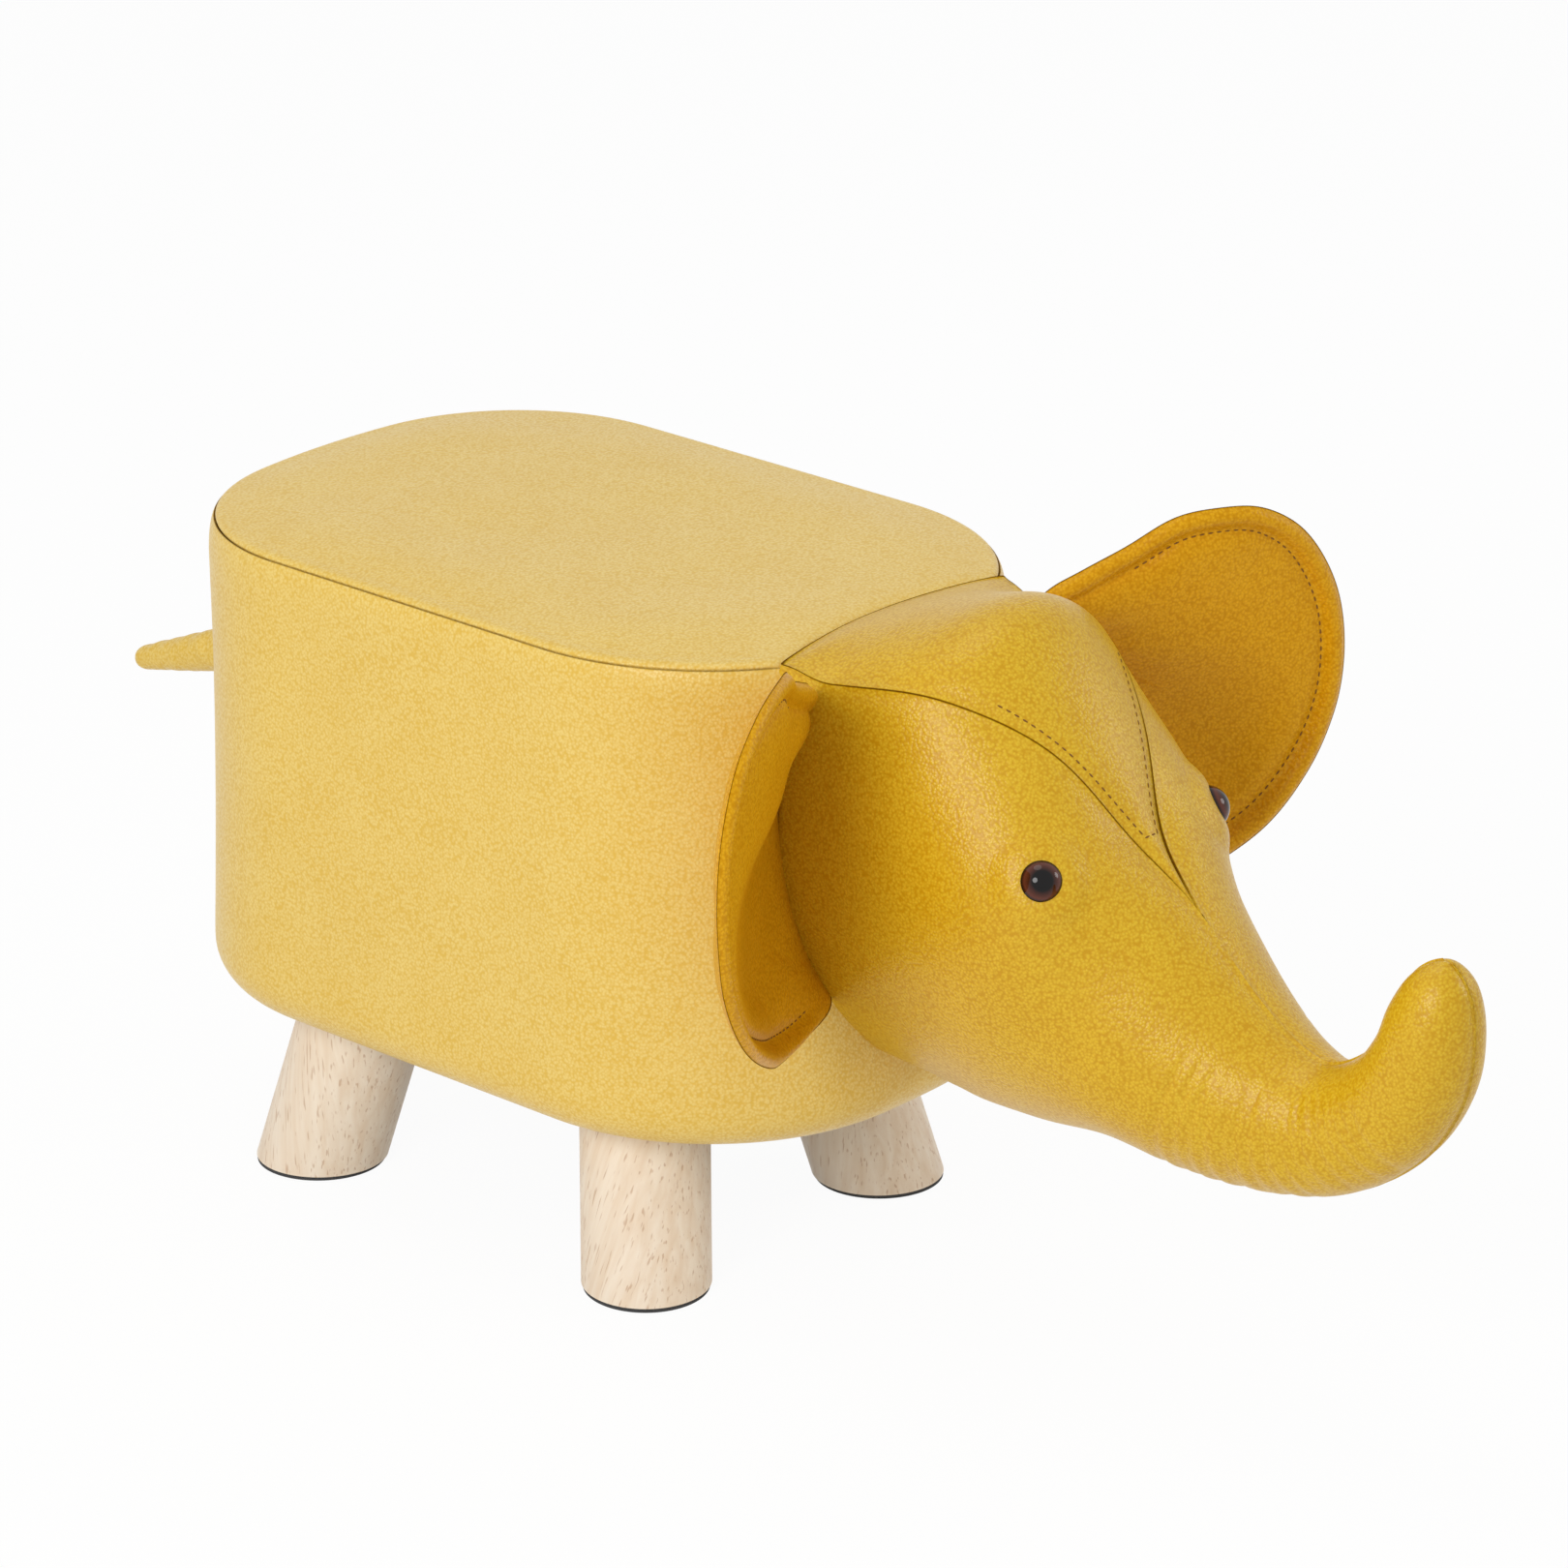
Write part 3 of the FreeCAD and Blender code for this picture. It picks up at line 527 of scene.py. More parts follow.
def plan_outline(count):
    """Points and outward directions round the body, evenly spaced from the middle of its front."""
    half_length, half_width = sizes().body_length / 2, sizes().body_width / 2
    half, steps = [], 120

    def arc(x, y, radius, first, last):
        for k in range(steps):
            turn = first + (last - first) * k / steps
            out = Vector((math.cos(turn), math.sin(turn), 0))
            half.append((Vector((BODY_X + x, y, 0)) + out * radius, out))

    def end(end_radius, corner_radius):
        centre = half_length - end_radius
        rise = half_width - corner_radius
        corner = centre + math.sqrt((end_radius - corner_radius) ** 2 - rise ** 2)
        return centre, corner, rise, math.atan2(rise, corner - centre)

    front_end, front_corner, rear_end, rear_corner = 0.700, 0.114, 0.363, 0.097
    centre, corner, rise, meet = end(front_end, front_corner)
    arc(centre, 0, front_end, 0, meet)
    arc(corner, rise, front_corner, meet, math.pi / 2)
    centre, corner, rise, meet = end(rear_end, rear_corner)
    arc(-corner, rise, rear_corner, math.pi / 2, math.pi - meet)
    arc(-centre, 0, rear_end, math.pi - meet, math.pi)
    mirror = Vector((1, -1, 1))
    rest = [(point * mirror, out * mirror) for point, out in reversed(half[1:])]
    return spaced(half + rest, count)


def wall_inset(height):
    """How far the padded wall stands in from the seat seam at a height, in mm."""
    middle, reach = 211.8, 102.2
    bow, slope, waist = -1.3, 1.5, -0.2
    share = (height - middle) / reach
    return bow * share * share + slope * share + waist


def brow_line(y):
    """Place along the stool of the seam between seat and forehead, bowed back in the middle."""
    return BODY_X + (BROW_AHEAD + BROW_BOW * (y / MM / BROW_HALF) ** 2) * MM


def brow_height(y):
    """Height of the seam between seat and forehead."""
    return sizes().seat_edge + (BROW_RISE - BROW_FALL * (y / MM / BROW_HALF) ** 2) * MM


def under_brow(spot):
    """Takes the seat down below the forehead panel in front of their seam."""
    below_seat, tuck, dip = 0.3, 14, 0.5
    if spot.z > below_seat:
        middle = 1 - smooth(0.076, 0.081, abs(spot.y))
        ahead = (spot.x - brow_line(min(BROW_HALF * MM, abs(spot.y)))) / MM
        spot.z -= middle * (tuck * smooth(-1.5, 9, ahead) + dip * smooth(-7, -1, ahead)) * MM
    return spot


class FOOTSTOOL_OT_body(bpy.types.Operator):
    """Padded side wall with its rolled hem and its turn-in under the base"""
    bl_idname = "footstool.body"
    bl_label = "Body"

    def execute(self, context):
        columns = 192
        plan = plan_outline(columns)
        low, top = sizes().underside / MM, sizes().seat_edge / MM
        # Insets from the seat seam and heights, in mm, from the turn-in under the base, round the
        # rolled hem and up the wall to the allowance behind the seam.
        hem, hem_inset, core_inset, turn_in, thick, shoulder, steps = 23, 20, 21.3, 44, 1.9, 25, 16
        unevenness, gathers, corner_gathers = 0.9 * MM, 0.12 * MM, 0.4 * MM
        seam_inset, seam_drop = 2.95, 2.4
        profile = [(core_inset, low + thick), (turn_in, low + thick), (turn_in, low), (34, low),
                   (27, low)]
        profile += [(hem_inset - hem * math.sin(math.radians(a)),
                     low + hem - hem * math.cos(math.radians(a))) for a in range(0, 90, 13)]
        levels = [low + hem + k * (top - shoulder - low - hem) / steps for k in range(steps + 1)]
        profile += [(wall_inset(z), z) for z in levels]
        profile += [(0.0, top - 17), (0.25, top - 11.5), (0.75, top - 7.5), (1.4, top - 4.8),
                    (2.1, top - 3.0), (2.75, top - 2.0), (3.1, top - 2.6), (3.7, top - 4.2),
                    (5.5, top - 7), (core_inset, top - 14), (core_inset, 200)]
        profile.append(profile[0])

        def place(column, row):
            point, out = plan[column % columns]
            inset, height = profile[row]
            spot = point - out * inset * MM
            spot.z = height * MM
            if 6 < row < len(profile) - 6:
                soft = smooth(low + 4, low + 40, height) * (1 - smooth(top - 9, top - 3, height))
                spot += out * unevenness * soft * noise.noise(spot * 14)
                gather = smooth(top - 44, top - 8, height) * (1 - smooth(top - 6, top - 3, height))
                corner = smooth(0.05, 0.12, spot.x)
                spot += out * gather * (gathers + corner_gathers * corner) * noise.noise(
                    Vector((column * 0.55, height * 0.02, 3.0)))
            return spot

        piece = skin("body", columns, len(profile) - 1, place)
        refine(piece, 1)
        seam = [point - out * seam_inset * MM + Vector((0, 0, (top - seam_drop) * MM))
                for point, out in plan_outline(columns * 6)]
        sew(piece, 0, 1, seam)
        finish_leather(piece, pebbled_leather("body"), ("side_cover", "side_foam"))
        return {"FINISHED"}


class FOOTSTOOL_OT_seat(bpy.types.Operator):
    """Padded seat with a rolled edge above its seam"""
    bl_idname = "footstool.seat"
    bl_label = "Seat"

    def execute(self, context):
        columns = 192
        plan = plan_outline(columns)
        top, crown = sizes().seat_edge / MM, sizes().seat_crown / MM
        core_inset, core_depth, unevenness = 21.9, 44, 1.2 * MM
        seam_inset, seam_drop, dome_start, dome_reach = 4.4, 3.4, 6, 54
        edge = [(core_inset, top - core_depth), (core_inset, top - 12.8), (6.0, top - 5.4),
                (4.0, top - 3.2), (3.5, top - 2.2), (3.4, top - 1.6), (3.7, top - 0.9),
                (4.6, top - 0.2), (6.0, top + 0.3), (8.2, top + 0.55), (11.0, top + 0.65)]
        dome = []
        for inset in (14, 19, 25, 32, 40, 49, 59):
            share = min(1.0, (inset - dome_start) / dome_reach)
            dome.append((inset, top + crown * (1 - (1 - share) ** 2)))
        rounds = edge + dome
        inner, spine = 7, 0.09

        def place(column, row):
            point, out = plan[column % columns]
            if row < inner:
                start = point - out * core_inset * MM
                share, height = row / inner, top - core_depth
            elif row < inner + len(rounds):
                inset, height = rounds[row - inner]
                spot = point - out * inset * MM
                spot.z = height * MM
                if inset > 9:
                    spot.z += unevenness * noise.noise(spot * 16) * smooth(9, 30, inset)
                return under_brow(spot)
            else:
                start = point - out * rounds[-1][0] * MM
                share = 1 - (row - inner - len(rounds) + 1) / inner
                height = top + crown
            line = Vector((min(BODY_X + spine, max(BODY_X - spine, start.x)), 0, 0))
            spot = line.lerp(start, share)
            spot.z = height * MM
            if row > inner:
                spot.z += unevenness * noise.noise(spot * 16)
                spot = under_brow(spot)
            return spot

        piece = skin("seat", columns, 2 * inner + len(rounds) - 1, place)
        refine(piece, 1)
        seam = [point - out * seam_inset * MM + Vector((0, 0, (top - seam_drop) * MM))
                for point, out in plan_outline(columns * 6)]
        sew(piece, 0, 1, seam)
        finish_leather(piece, pebbled_leather("body"), ("seat_cover", "seat_foam"))
        return {"FINISHED"}


# Head and trunk


def head_ring(section, share_of_ring):
    """A point round a section of the head: across and up, in mm. The ring runs from the top
    over the forehead panel, the cheek and the flank to the chin."""
    half, widest, crest, depth, gusset, seam = section[3:]
    gusset = max(0.0, gusset)
    run, share = share_of_ring
    if run == 0:
        if gusset < GUSSET_END:
            return 0.0, crest
        rise = max(0.02, crest - seam)
        bow = (gusset ** 2 + rise ** 2) / (2 * rise)
        across = gusset * share
        return across, crest - bow + math.sqrt(bow ** 2 - across ** 2)
    if gusset < GUSSET_END:
        gusset, seam = 0.0, crest
    if run == 1:
        over = max(0.5, half - gusset)
        bow = (over ** 2 + (seam - widest) ** 2) / (2 * over)
        turn = math.atan2(seam - widest, gusset - (half - bow)) * (1 - share)
        return half - bow + bow * math.cos(turn), widest + bow * math.sin(turn)
    d = math.sqrt(0.5)
    fall = widest + depth
    flank = (fall * d - half * (1 - d)) / (2 * d - 1)
    if run == 2:
        turn = -math.pi / 4 * share
        return half - flank + flank * math.cos(turn), widest + flank * math.sin(turn)
    chin = (half - flank * (1 - d)) / d
    turn = -math.pi / 4 * (1 + share)
    return chin * math.cos(turn), -depth + chin + chin * math.sin(turn)


def eyes():
    """Middle of each eye's seat and the way the eye looks."""
    found = []
    for name in ("eye_left", "eye_right"):
        low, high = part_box(name)
        side = 1 if low[1] > 0 else -1
        mirror = Vector((1, side, 1))
        found.append((EYE_SPOT * mirror, (EYE_LOOK * mirror).normalized()))
    return found


def trunk_run():
    """Points along the middle of the head and trunk with their distance from the neck."""
    sections = [row[:3] for row in HEAD_SECTIONS + TRUNK_SECTIONS]
    points = [between(sections, k / 12) for k in range(12 * (len(sections) - 1) + 1)]
    run, length = [], 0.0
    for k, (x, z, lean) in enumerate(points):
        if k:
            length += math.hypot(x - points[k - 1][0], z - points[k - 1][1])
        run.append((x, z, lean, length))
    return run


def cross_folds(along, round_it, side):
    """Depth, from 0 to 1, of the short folds across the trunk's flank where it bends up."""
    first, pitch, half_width, wander, slope = 236, 6.2, 2.0, 3.2, 7
    deepest = 0.0
    for k in range(16):
        place = first + pitch * k + wander * noise.noise(Vector((3.7 * k, side, 0.5)))
        middle = 1.2 + 0.7 * noise.noise(Vector((2.3 * k, 4.3, 1.7 * side)))
        slant = slope * noise.noise(Vector((1.9 * k, 8.0, side)))
        away = (along - place - slant * (round_it - middle)) / half_width
        if abs(away) < 3:
            length = 1 - smooth(0.5, 1.1, abs(round_it - middle))
            deepest = max(deepest, length * math.exp(-away * away))
    return deepest


class FOOTSTOOL_OT_head(bpy.types.Operator):
    """Stuffed head and trunk sewn from two cheek panels and a forehead panel"""
    bl_idname = "footstool.head"
    bl_label = "Head"

    def execute(self, context):
        sections = list(HEAD_SECTIONS)
        for x, z, lean, radius in TRUNK_SECTIONS:
            sections.append((x, z, lean, radius, 0, radius, radius, 0, radius))
        runs = (7, 9, 8, 6)
        half = sum(runs)
        columns, per_section = 2 * half, 5
        rings = (len(sections) - 2) * per_section
        marks = [sum(runs[:k]) for k in range(5)]
        tip_ring = next(k for k in range(rings)
                        if between(sections, 1 + k / per_section)[7] < GUSSET_END)
        slack, first = 1.6, 3
        unevenness, fold_depth = 0.6 * MM, 1.0 * MM
        brow_reach, allowance_back, allowance_down = 76.5 * MM, 7 * MM, 16 * MM
        lift_middle, lift_side, lift_reach = 1.5, 7.4, 72 * MM
        eye_pad, eye_pad_start, eye_pad_end = 3.4 * MM, 12 * MM, 26 * MM

        def place(column, row):
            ring = min(max(row - first, 0), rings)
            section = between(sections, 1 + ring / per_section if row >= first else 0.8)
            x, z, lean = section[:3]
            side = 1 if column <= half else -1
            step = column if column <= half else columns - column
            run = next(k for k in range(4) if step <= marks[k + 1])
            share = (step - marks[run]) / runs[run]
            across, up = head_ring(section, (run, share))
            if row == 0 or row == rings + first + 1:
                across = up = 0
            elif row < first and run == 0:
                # The forehead's back edge lies on the seat along their seam, and its allowance
                # is turned under.
                y = brow_reach * share
                under = 0 if row == 2 else 1
                return Vector((brow_line(y) - allowance_back * under, side * y,
                               brow_height(y) - allowance_down * under))
            shrink = 1 - slack / max(8.0, math.hypot(across, up))
            turn = math.radians(lean)
            spot = Vector((x + up * shrink * math.sin(turn), side * across * shrink,
                           z + up * shrink * math.cos(turn))) * MM
            ahead = (spot.x - brow_line(min(BROW_HALF * MM, abs(spot.y)))) / MM
            lift = lift_middle + lift_side * min(1.0, abs(spot.y) / lift_reach) ** 1.6
            spot.z += lift * MM * (1 - smooth(0, 24, ahead)) * smooth(0.292, 0.311, spot.z)
            return spot

        def sewn(column, row):
            ring = row - first
            step = column if column <= half else columns - column
            if row == 2 and step <= marks[1]:
                return True
            if step == half:
                return row > 1
            if ring < tip_ring:
                return step == marks[1] and row > 1
            return step <= marks[1]

        piece = skin("head", columns, rings + first + 1, place, sewn)
        marked = piece.data.attributes["sewn"].data
        held = [k for k, vert in enumerate(piece.data.vertices)
                if marked[k].value or vert.co.x < 0.088]
        puff(piece, held, 4.0, 3.2 * MM)
        refine(piece, 2)
        line = trunk_run()
        near = KDTree(len(line))
        for k, (x, z, lean, along) in enumerate(line):
            near.insert(Vector((x, 0, z)) * MM, k)
        near.balance()
        mesh = bmesh.new()
        mesh.from_mesh(piece.data)
        mesh.normal_update()
        moves = []
        for vert in mesh.verts:
            x, z, lean, along = line[near.find(Vector((vert.co.x, 0, vert.co.z)))[1]]
            turn = math.radians(lean)
            up = ((vert.co.x - x * MM) * math.sin(turn) + (vert.co.z - z * MM) * math.cos(turn))
            round_it = math.atan2(abs(vert.co.y), -up)
            along += ((vert.co.x / MM - x) * math.cos(turn) - (vert.co.z / MM - z) * math.sin(turn))
            fold = cross_folds(along, round_it, 1 if vert.co.y > 0 else -1)
            moves.append((vert, unevenness * noise.noise(vert.co * 17) - fold_depth * fold))
        for vert, move in moves:
            vert.co += vert.normal * move
        for spot, out in eyes():
            for vert in mesh.verts:
                gap = (vert.co - spot).length
                if gap < eye_pad_end:
                    vert.co += out * eye_pad * (1 - smooth(eye_pad_start, eye_pad_end, gap))
        mesh.to_mesh(piece.data)
        mesh.free()

        def fade(point):
            """Hides the thread under the chin and along the top of the trunk."""
            chin = 0.45 if abs(point.y) < 0.004 and point.z < 0.2 + 0.2 * (point.x > 0.33) else 0
            return max(chin, 0.9 * smooth(0.235, 0.275, point.x) if abs(point.y) < 0.01 else 0)

        sew(piece, 0.9 * MM, 4.0 * MM, fade=fade)
        finish_leather(piece, pebbled_leather("head"),
                       ("forehead_panel", "cheek_panel_left", "cheek_panel_right", "head_fill",
                        "trunk_fill"))
        return {"FINISHED"}


# Ears


def ear_axes(side):
    """Root point, outward and backward directions of an ear; side is 1 on the left."""
    spot = JOINTS["ear_left_flap" if side > 0 else "ear_right_flap"]["pos_m"]
    out = Vector((math.sin(EAR_SWEEP), side * math.cos(EAR_SWEEP), 0))
    back = Vector((-math.cos(EAR_SWEEP), side * math.sin(EAR_SWEEP), 0))
    return Vector((spot[0], spot[1], 0)), out, back


def ear_outline(count):
    """Points round the ear laid flat and their inward directions, evenly spaced."""
    points = [between(EAR_OUTLINE, k / 12, True) for k in range(12 * len(EAR_OUTLINE))]
    run = []
    for k, (u, z) in enumerate(points):
        after, before = points[(k + 1) % len(points)], points[k - 1]
        way = Vector((after[0] - before[0], after[1] - before[1], 0)).normalized()
        run.append((Vector((u, z, 0)), Vector((-way.y, way.x, 0))))
    return spaced(run, count)


def stepped(table, below):
    """The entry of one of the ear's tables at a distance below its top."""
    return between(table, min(len(table) - 1, max(0.0, below / EAR_STEP)))


def root_shift(z):
    """How far the ear's sewn root leaves a straight line to follow the cheek: across, back."""
    return stepped(EAR_ROOT, EAR_ROOT_TOP - z)


class FOOTSTOOL_OT_ears(bpy.types.Operator):
    """Two cupped ears, each a stuffed front and back sewn round the rim with a stitched hem"""
    bl_idname = "footstool.ears"
    bl_label = "Ears"

    def execute(self, context):
        columns = 144
        outline = ear_outline(columns)
        middle = Vector((*EAR_MIDDLE, 0))
        near_rim = (0, 0.9, 2.2, 4.0, 6.0, 8.0, 9.8, 11.1, HEM, 12.9, 14.4, 17.5, 21.5)
        inner = 10
        rows = len(near_rim) + inner
        hem_level = near_rim.index(HEM)
        cup, hem_roll, top_roll, groove_depth, groove_half = 7, 4.4, 5, 0.8, 1.6
        root_reach, bare_low, bare_high, bare_change = 60, 10, 48, 200

        def hemmed(point):
            return max(smooth(6, 34, point.x), smooth(296, 312, point.y))

        def depth_at(column, level):
            point, inward = outline[column]
            reach = (middle - point).dot(inward)
            if level < len(near_rim):
                gap = near_rim[level]
            else:
                gap = near_rim[-1] + (reach - near_rim[-1]) * (level - len(near_rim) + 1) / inner
            return point.lerp(middle, gap / reach), gap

        def face(column, level, front):
            spot, gap = depth_at(column, level)
            u, z = spot.x, spot.y
            hem = hemmed(outline[column][0])
            across, root_back = root_shift(z)
            fall = 0.929 * z - 0.339 * u
            rim_back = stepped(EAR_RIM, EAR_RIM_TOP - fall)[0]
            base = root_back + (rim_back - root_back) * smooth(0, root_reach, u)
            hollow = cup * (1 - smooth(232, 280, z)) * smooth(168, 204, z) * smooth(4, 34, gap)
            base += hollow * math.sin(math.pi * min(1.0, max(0.0, u / 150))) ** 0.7
            full = smooth(0, 26, gap)
            if front:
                roll = hem_roll * math.sin(math.pi * min(1.0, gap / 10)) ** 0.8
                roll += top_roll * full * smooth(255, 285, z) * (1 - smooth(60, 140, u))
                groove = groove_depth * math.exp(-((gap - HEM) / groove_half) ** 2)
                plain, sewn_hem = -3.5 - 2.5 * full, -0.4 - 5.6 * full - roll + groove
            else:
                plain, sewn_hem = 1.0 + 0.8 * full, 0.4 + 2.0 * smooth(0, 7, gap)
            u += across * (1 - smooth(0, root_reach, u))
            return u, z, base + plain + hem * (sewn_hem - plain)

        for side, name in ((1, "ear_left"), (-1, "ear_right")):
            root, out, back = ear_axes(side)

            def place(column, row):
                front = row <= rows - 1
                level = rows - 1 - row if front else row - (rows - 1)
                u, z, depth = face(column % columns, level, front)
                return root + out * u * MM + back * depth * MM + Vector((0, 0, z * MM))

            def sewn(column, row):
                return row == rows - 1

            piece = skin(name + "_flap", columns, 2 * (rows - 1), place, sewn)
            marked = piece.data.attributes["sewn"].data
            held = []
            for k, vert in enumerate(piece.data.vertices):
                u = (vert.co - root).dot(out) / MM
                if marked[k].value or u < 6:
                    held.append(k)
            ring = KDTree(columns)
            for k in range(columns):
                ring.insert(Vector(face(k, hem_level, True)), k)
            ring.balance()
            for k, vert in enumerate(piece.data.vertices):
                flat = vert.co - root
                local = Vector((flat.dot(out), vert.co.z, flat.dot(back))) / MM
                if ring.find(local)[2] < 0.5:
                    held.append(k)
            puff(piece, sorted(set(held)), 2.5, 1.6 * MM)
            refine(piece, 1)
            root_line = []
            for z in range(156, 312):
                across, behind = root_shift(z)
                root_line.append(root + out * (across + 3) * MM + back * (behind - 1) * MM
                                 + Vector((0, 0, z * MM)))
            sew(piece, 0.5 * MM, 2.0 * MM, root_line)
            finish_leather(piece, pebbled_leather("ears"),
                           (name + "_front", name + "_back", name + "_pad"), None)
            rows_of_stitches(name + "_hem_stitches", piece, [
                root + out * u * MM + back * d * MM + Vector((0, 0, z * MM))
                for u, z, d in (face(k, hem_level, True) for k in range(columns))
                if u > (bare_low if z < bare_change else bare_high)])
            for made in (piece, bpy.data.objects[name + "_hem_stitches"]):
                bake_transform(made)
        return {"FINISHED"}


def rows_of_stitches(name, carrier, path):
    """Short stitches along a path, each laid on the leather below it."""
    pitch = sizes().stitch_pitch
    stitch_share, half_width, half_height, lift, widest_step = 0.62, 0.0004, 0.00032, 0.0001, 0.03
    spots, left = [], 0.0
    for a, b in zip(path, path[1:]):
        length = (b - a).length
        if length > widest_step:
            continue
        while left < length:
            spots.append((a.lerp(b, left / length), (b - a).normalized()))
            left += pitch
        left -= length
    mesh = bmesh.new()
    for spot, way in spots:
        found, point, normal, face = carrier.closest_point_on_mesh(spot)
        if not found:
            raise RuntimeError("no leather under a stitch of " + name)
        along = (way - normal * way.dot(normal)).normalized()
        turn = Matrix((along, normal.cross(along), normal)).transposed().to_4x4()
        turn.translation = point + normal * lift
        size = Matrix.Diagonal((stitch_share * pitch / 2, half_width, half_height, 1))
        bmesh.ops.create_uvsphere(mesh, u_segments=8, v_segments=4, radius=1, matrix=turn @ size)
    bmesh.ops.recalc_face_normals(mesh, faces=mesh.faces)
    made = placed(name, mesh)
    made.data.materials.append(sewing_thread())
    return made


# Tail and topstitching


class FOOTSTOOL_OT_tail(bpy.types.Operator):
    """Small stuffed tail with cross folds, sewn to the back"""
    bl_idname = "footstool.tail"
    bl_label = "Tail"

    def execute(self, context):
        axis = Vector(JOINTS["tail_wag"]["pos_m"])
        droop = math.radians(18)
        way = Vector((-math.cos(droop), 0, -math.sin(droop)))
        up = Vector((-math.sin(droop), 0, math.cos(droop)))
        columns, rows = 36, 64
        start, length = -14.0, 122.4
        root_radius, middle_radius, tip_radius, middle_share = 12, 10, 5.6, 0.55
        pinch_share, fold_share, still, free = 0.10, 0.09, 10 * MM, 6 * MM

        def place(column, row):
            share = min(1.0, max(0.0, (row - 1) / (rows - 2)))
            along = start + (length - start) * share
            part = max(0.0, along / length)
            if part < middle_share:
                radius = root_radius + (middle_radius - root_radius) * part / middle_share
            else:
                thinner = (part - middle_share) / (1 - middle_share)
                radius = middle_radius + (tip_radius - middle_radius) * thinner
            radius *= 1 - pinch_share * math.exp(-((along + 10) / 8) ** 2)
            left = length - along
            if left < tip_radius:
                radius = math.sqrt(max(0.0, tip_radius ** 2 - (tip_radius - left) ** 2))
            turn = 2 * math.pi * column / columns
            fold = noise.noise(Vector((along * 0.16 + 0.7 * math.sin(turn),
                                       0.8 * math.cos(turn), 5)))
            radius *= 1 + fold_share * fold * smooth(0, 20, left)
            if row == 0 or row == rows:
                radius = 0
            return (axis + way * along * MM + up * radius * MM * math.cos(turn)
                    + Vector((0, radius * MM * math.sin(turn), 0)))

        piece = skin("tail_piece", columns, rows, place)
        refine(piece, 1)
        wall, seam_radius = axis - way * 12.6 * MM, 11.5 * MM
        seam = [wall + (up * math.cos(t / 20) + Vector((0, math.sin(t / 20), 0))) * seam_radius
                for t in range(126)]
        under = [axis + way * k * MM - up * 0.0105 * (1 - k / 300) for k in range(-12, 132)]
        sew(piece, 0, 1, seam + under)
        finish_leather(piece, pebbled_leather("tail"), ("tail_cover", "tail_fill"), None)
        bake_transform(piece)
        return {"FINISHED"}


class FOOTSTOOL_OT_topstitch(bpy.types.Operator):
    """Topstitching beside the forehead panel's seams"""
    bl_idname = "footstool.topstitch"
    bl_label = "Topstitching"

    def execute(self, context):
        head = bpy.data.objects["head"]
        from_seam, narrowest = 4.2, 8
        paths = []
        for side in (1, -1):
            path = []
            for k in range(34, 60):
                section = between(HEAD_SECTIONS, k / 10)
                gusset = section[7]
                if gusset < narrowest:
                    break
                share = (gusset - from_seam) / gusset
                across, up = head_ring(section, (0, share))
                turn = math.radians(section[2])
                path.append(Vector((section[0] + up * math.sin(turn), side * across,
                                    section[1] + up * math.cos(turn))) * MM)
            paths.append(path)
        made = rows_of_stitches("forehead_stitches", head, paths[0] + list(reversed(paths[1])))
        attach(made, "stool")
        return {"FINISHED"}


# Wood, fittings and stage


class FOOTSTOOL_OT_wood_and_fittings(bpy.types.Operator):
    """Finishes of the legs, pads, eyes, inner boards and fasteners"""
    bl_idname = "footstool.wood_and_fittings"
    bl_label = "Wood and fittings"

    def execute(self, context):
        splay_aside, splay_ahead = math.radians(12.2), math.radians(11.6)
        plywood = fitting("birch_plywood", "#C9A878", "#B48F60", 0.7, 6.0, stretch=(0.1, 1, 1))
        steel = fitting("zinc_plated_steel", "#A9A9A4", "#8E8E8B", 0.38, 1.5, 1.0)
        cloth = fitting("spunbond_cloth", "#1B1B1B", "#2A2A2A", 0.9, 0.8, bump_mm=0.2)
        felt = fitting("pressed_felt", "#4A4A4B", "#323233", 0.95, 0.9, bump_mm=0.3)
        nylon = fitting("moulded_nylon", "#DEDEDA", "#CFCFCB", 0.5, 0.7)
        by_slot = {"plywood": plywood, "zinc_steel": steel, "dust_cloth": cloth,
                   "grey_pad": felt, "white_plastic": nylon}
        for part in frame["record"]["subparts"]:
            name, slot = part["node"], part["material_slot"]
            node = bpy.data.objects[name]
            if slot == "pale_wood":
                front = 1 if "front" in name else -1
                left = 1 if "left" in name else -1
                lean = (-splay_aside * left, -splay_ahead * front, 0)
                finish = turned_wood("turned_rubberwood_" + name[4:], lean)
            elif slot == "black_plastic":
                finish = glossy_eye("cast_acrylic_" + name, *eyes()[name == "eye_right"])
            elif slot in by_slot:
                finish = by_slot[slot]
            else:
                continue
            node.data.materials.clear()
            node.data.materials.append(finish)
        return {"FINISHED"}


def white_rays(tree):
    """1 for rays that reach the eye straight, by reflection or through glass, and 0 for others."""
    rays = add(tree, "ShaderNodeLightPath")
    seen = rays.outputs["Is Camera Ray"]
    for kind in ("Is Glossy Ray", "Is Transmission Ray"):
        seen = add(tree, "ShaderNodeMath", {0: seen, 1: rays.outputs[kind]},
                   operation="MAXIMUM").outputs[0]
    return seen


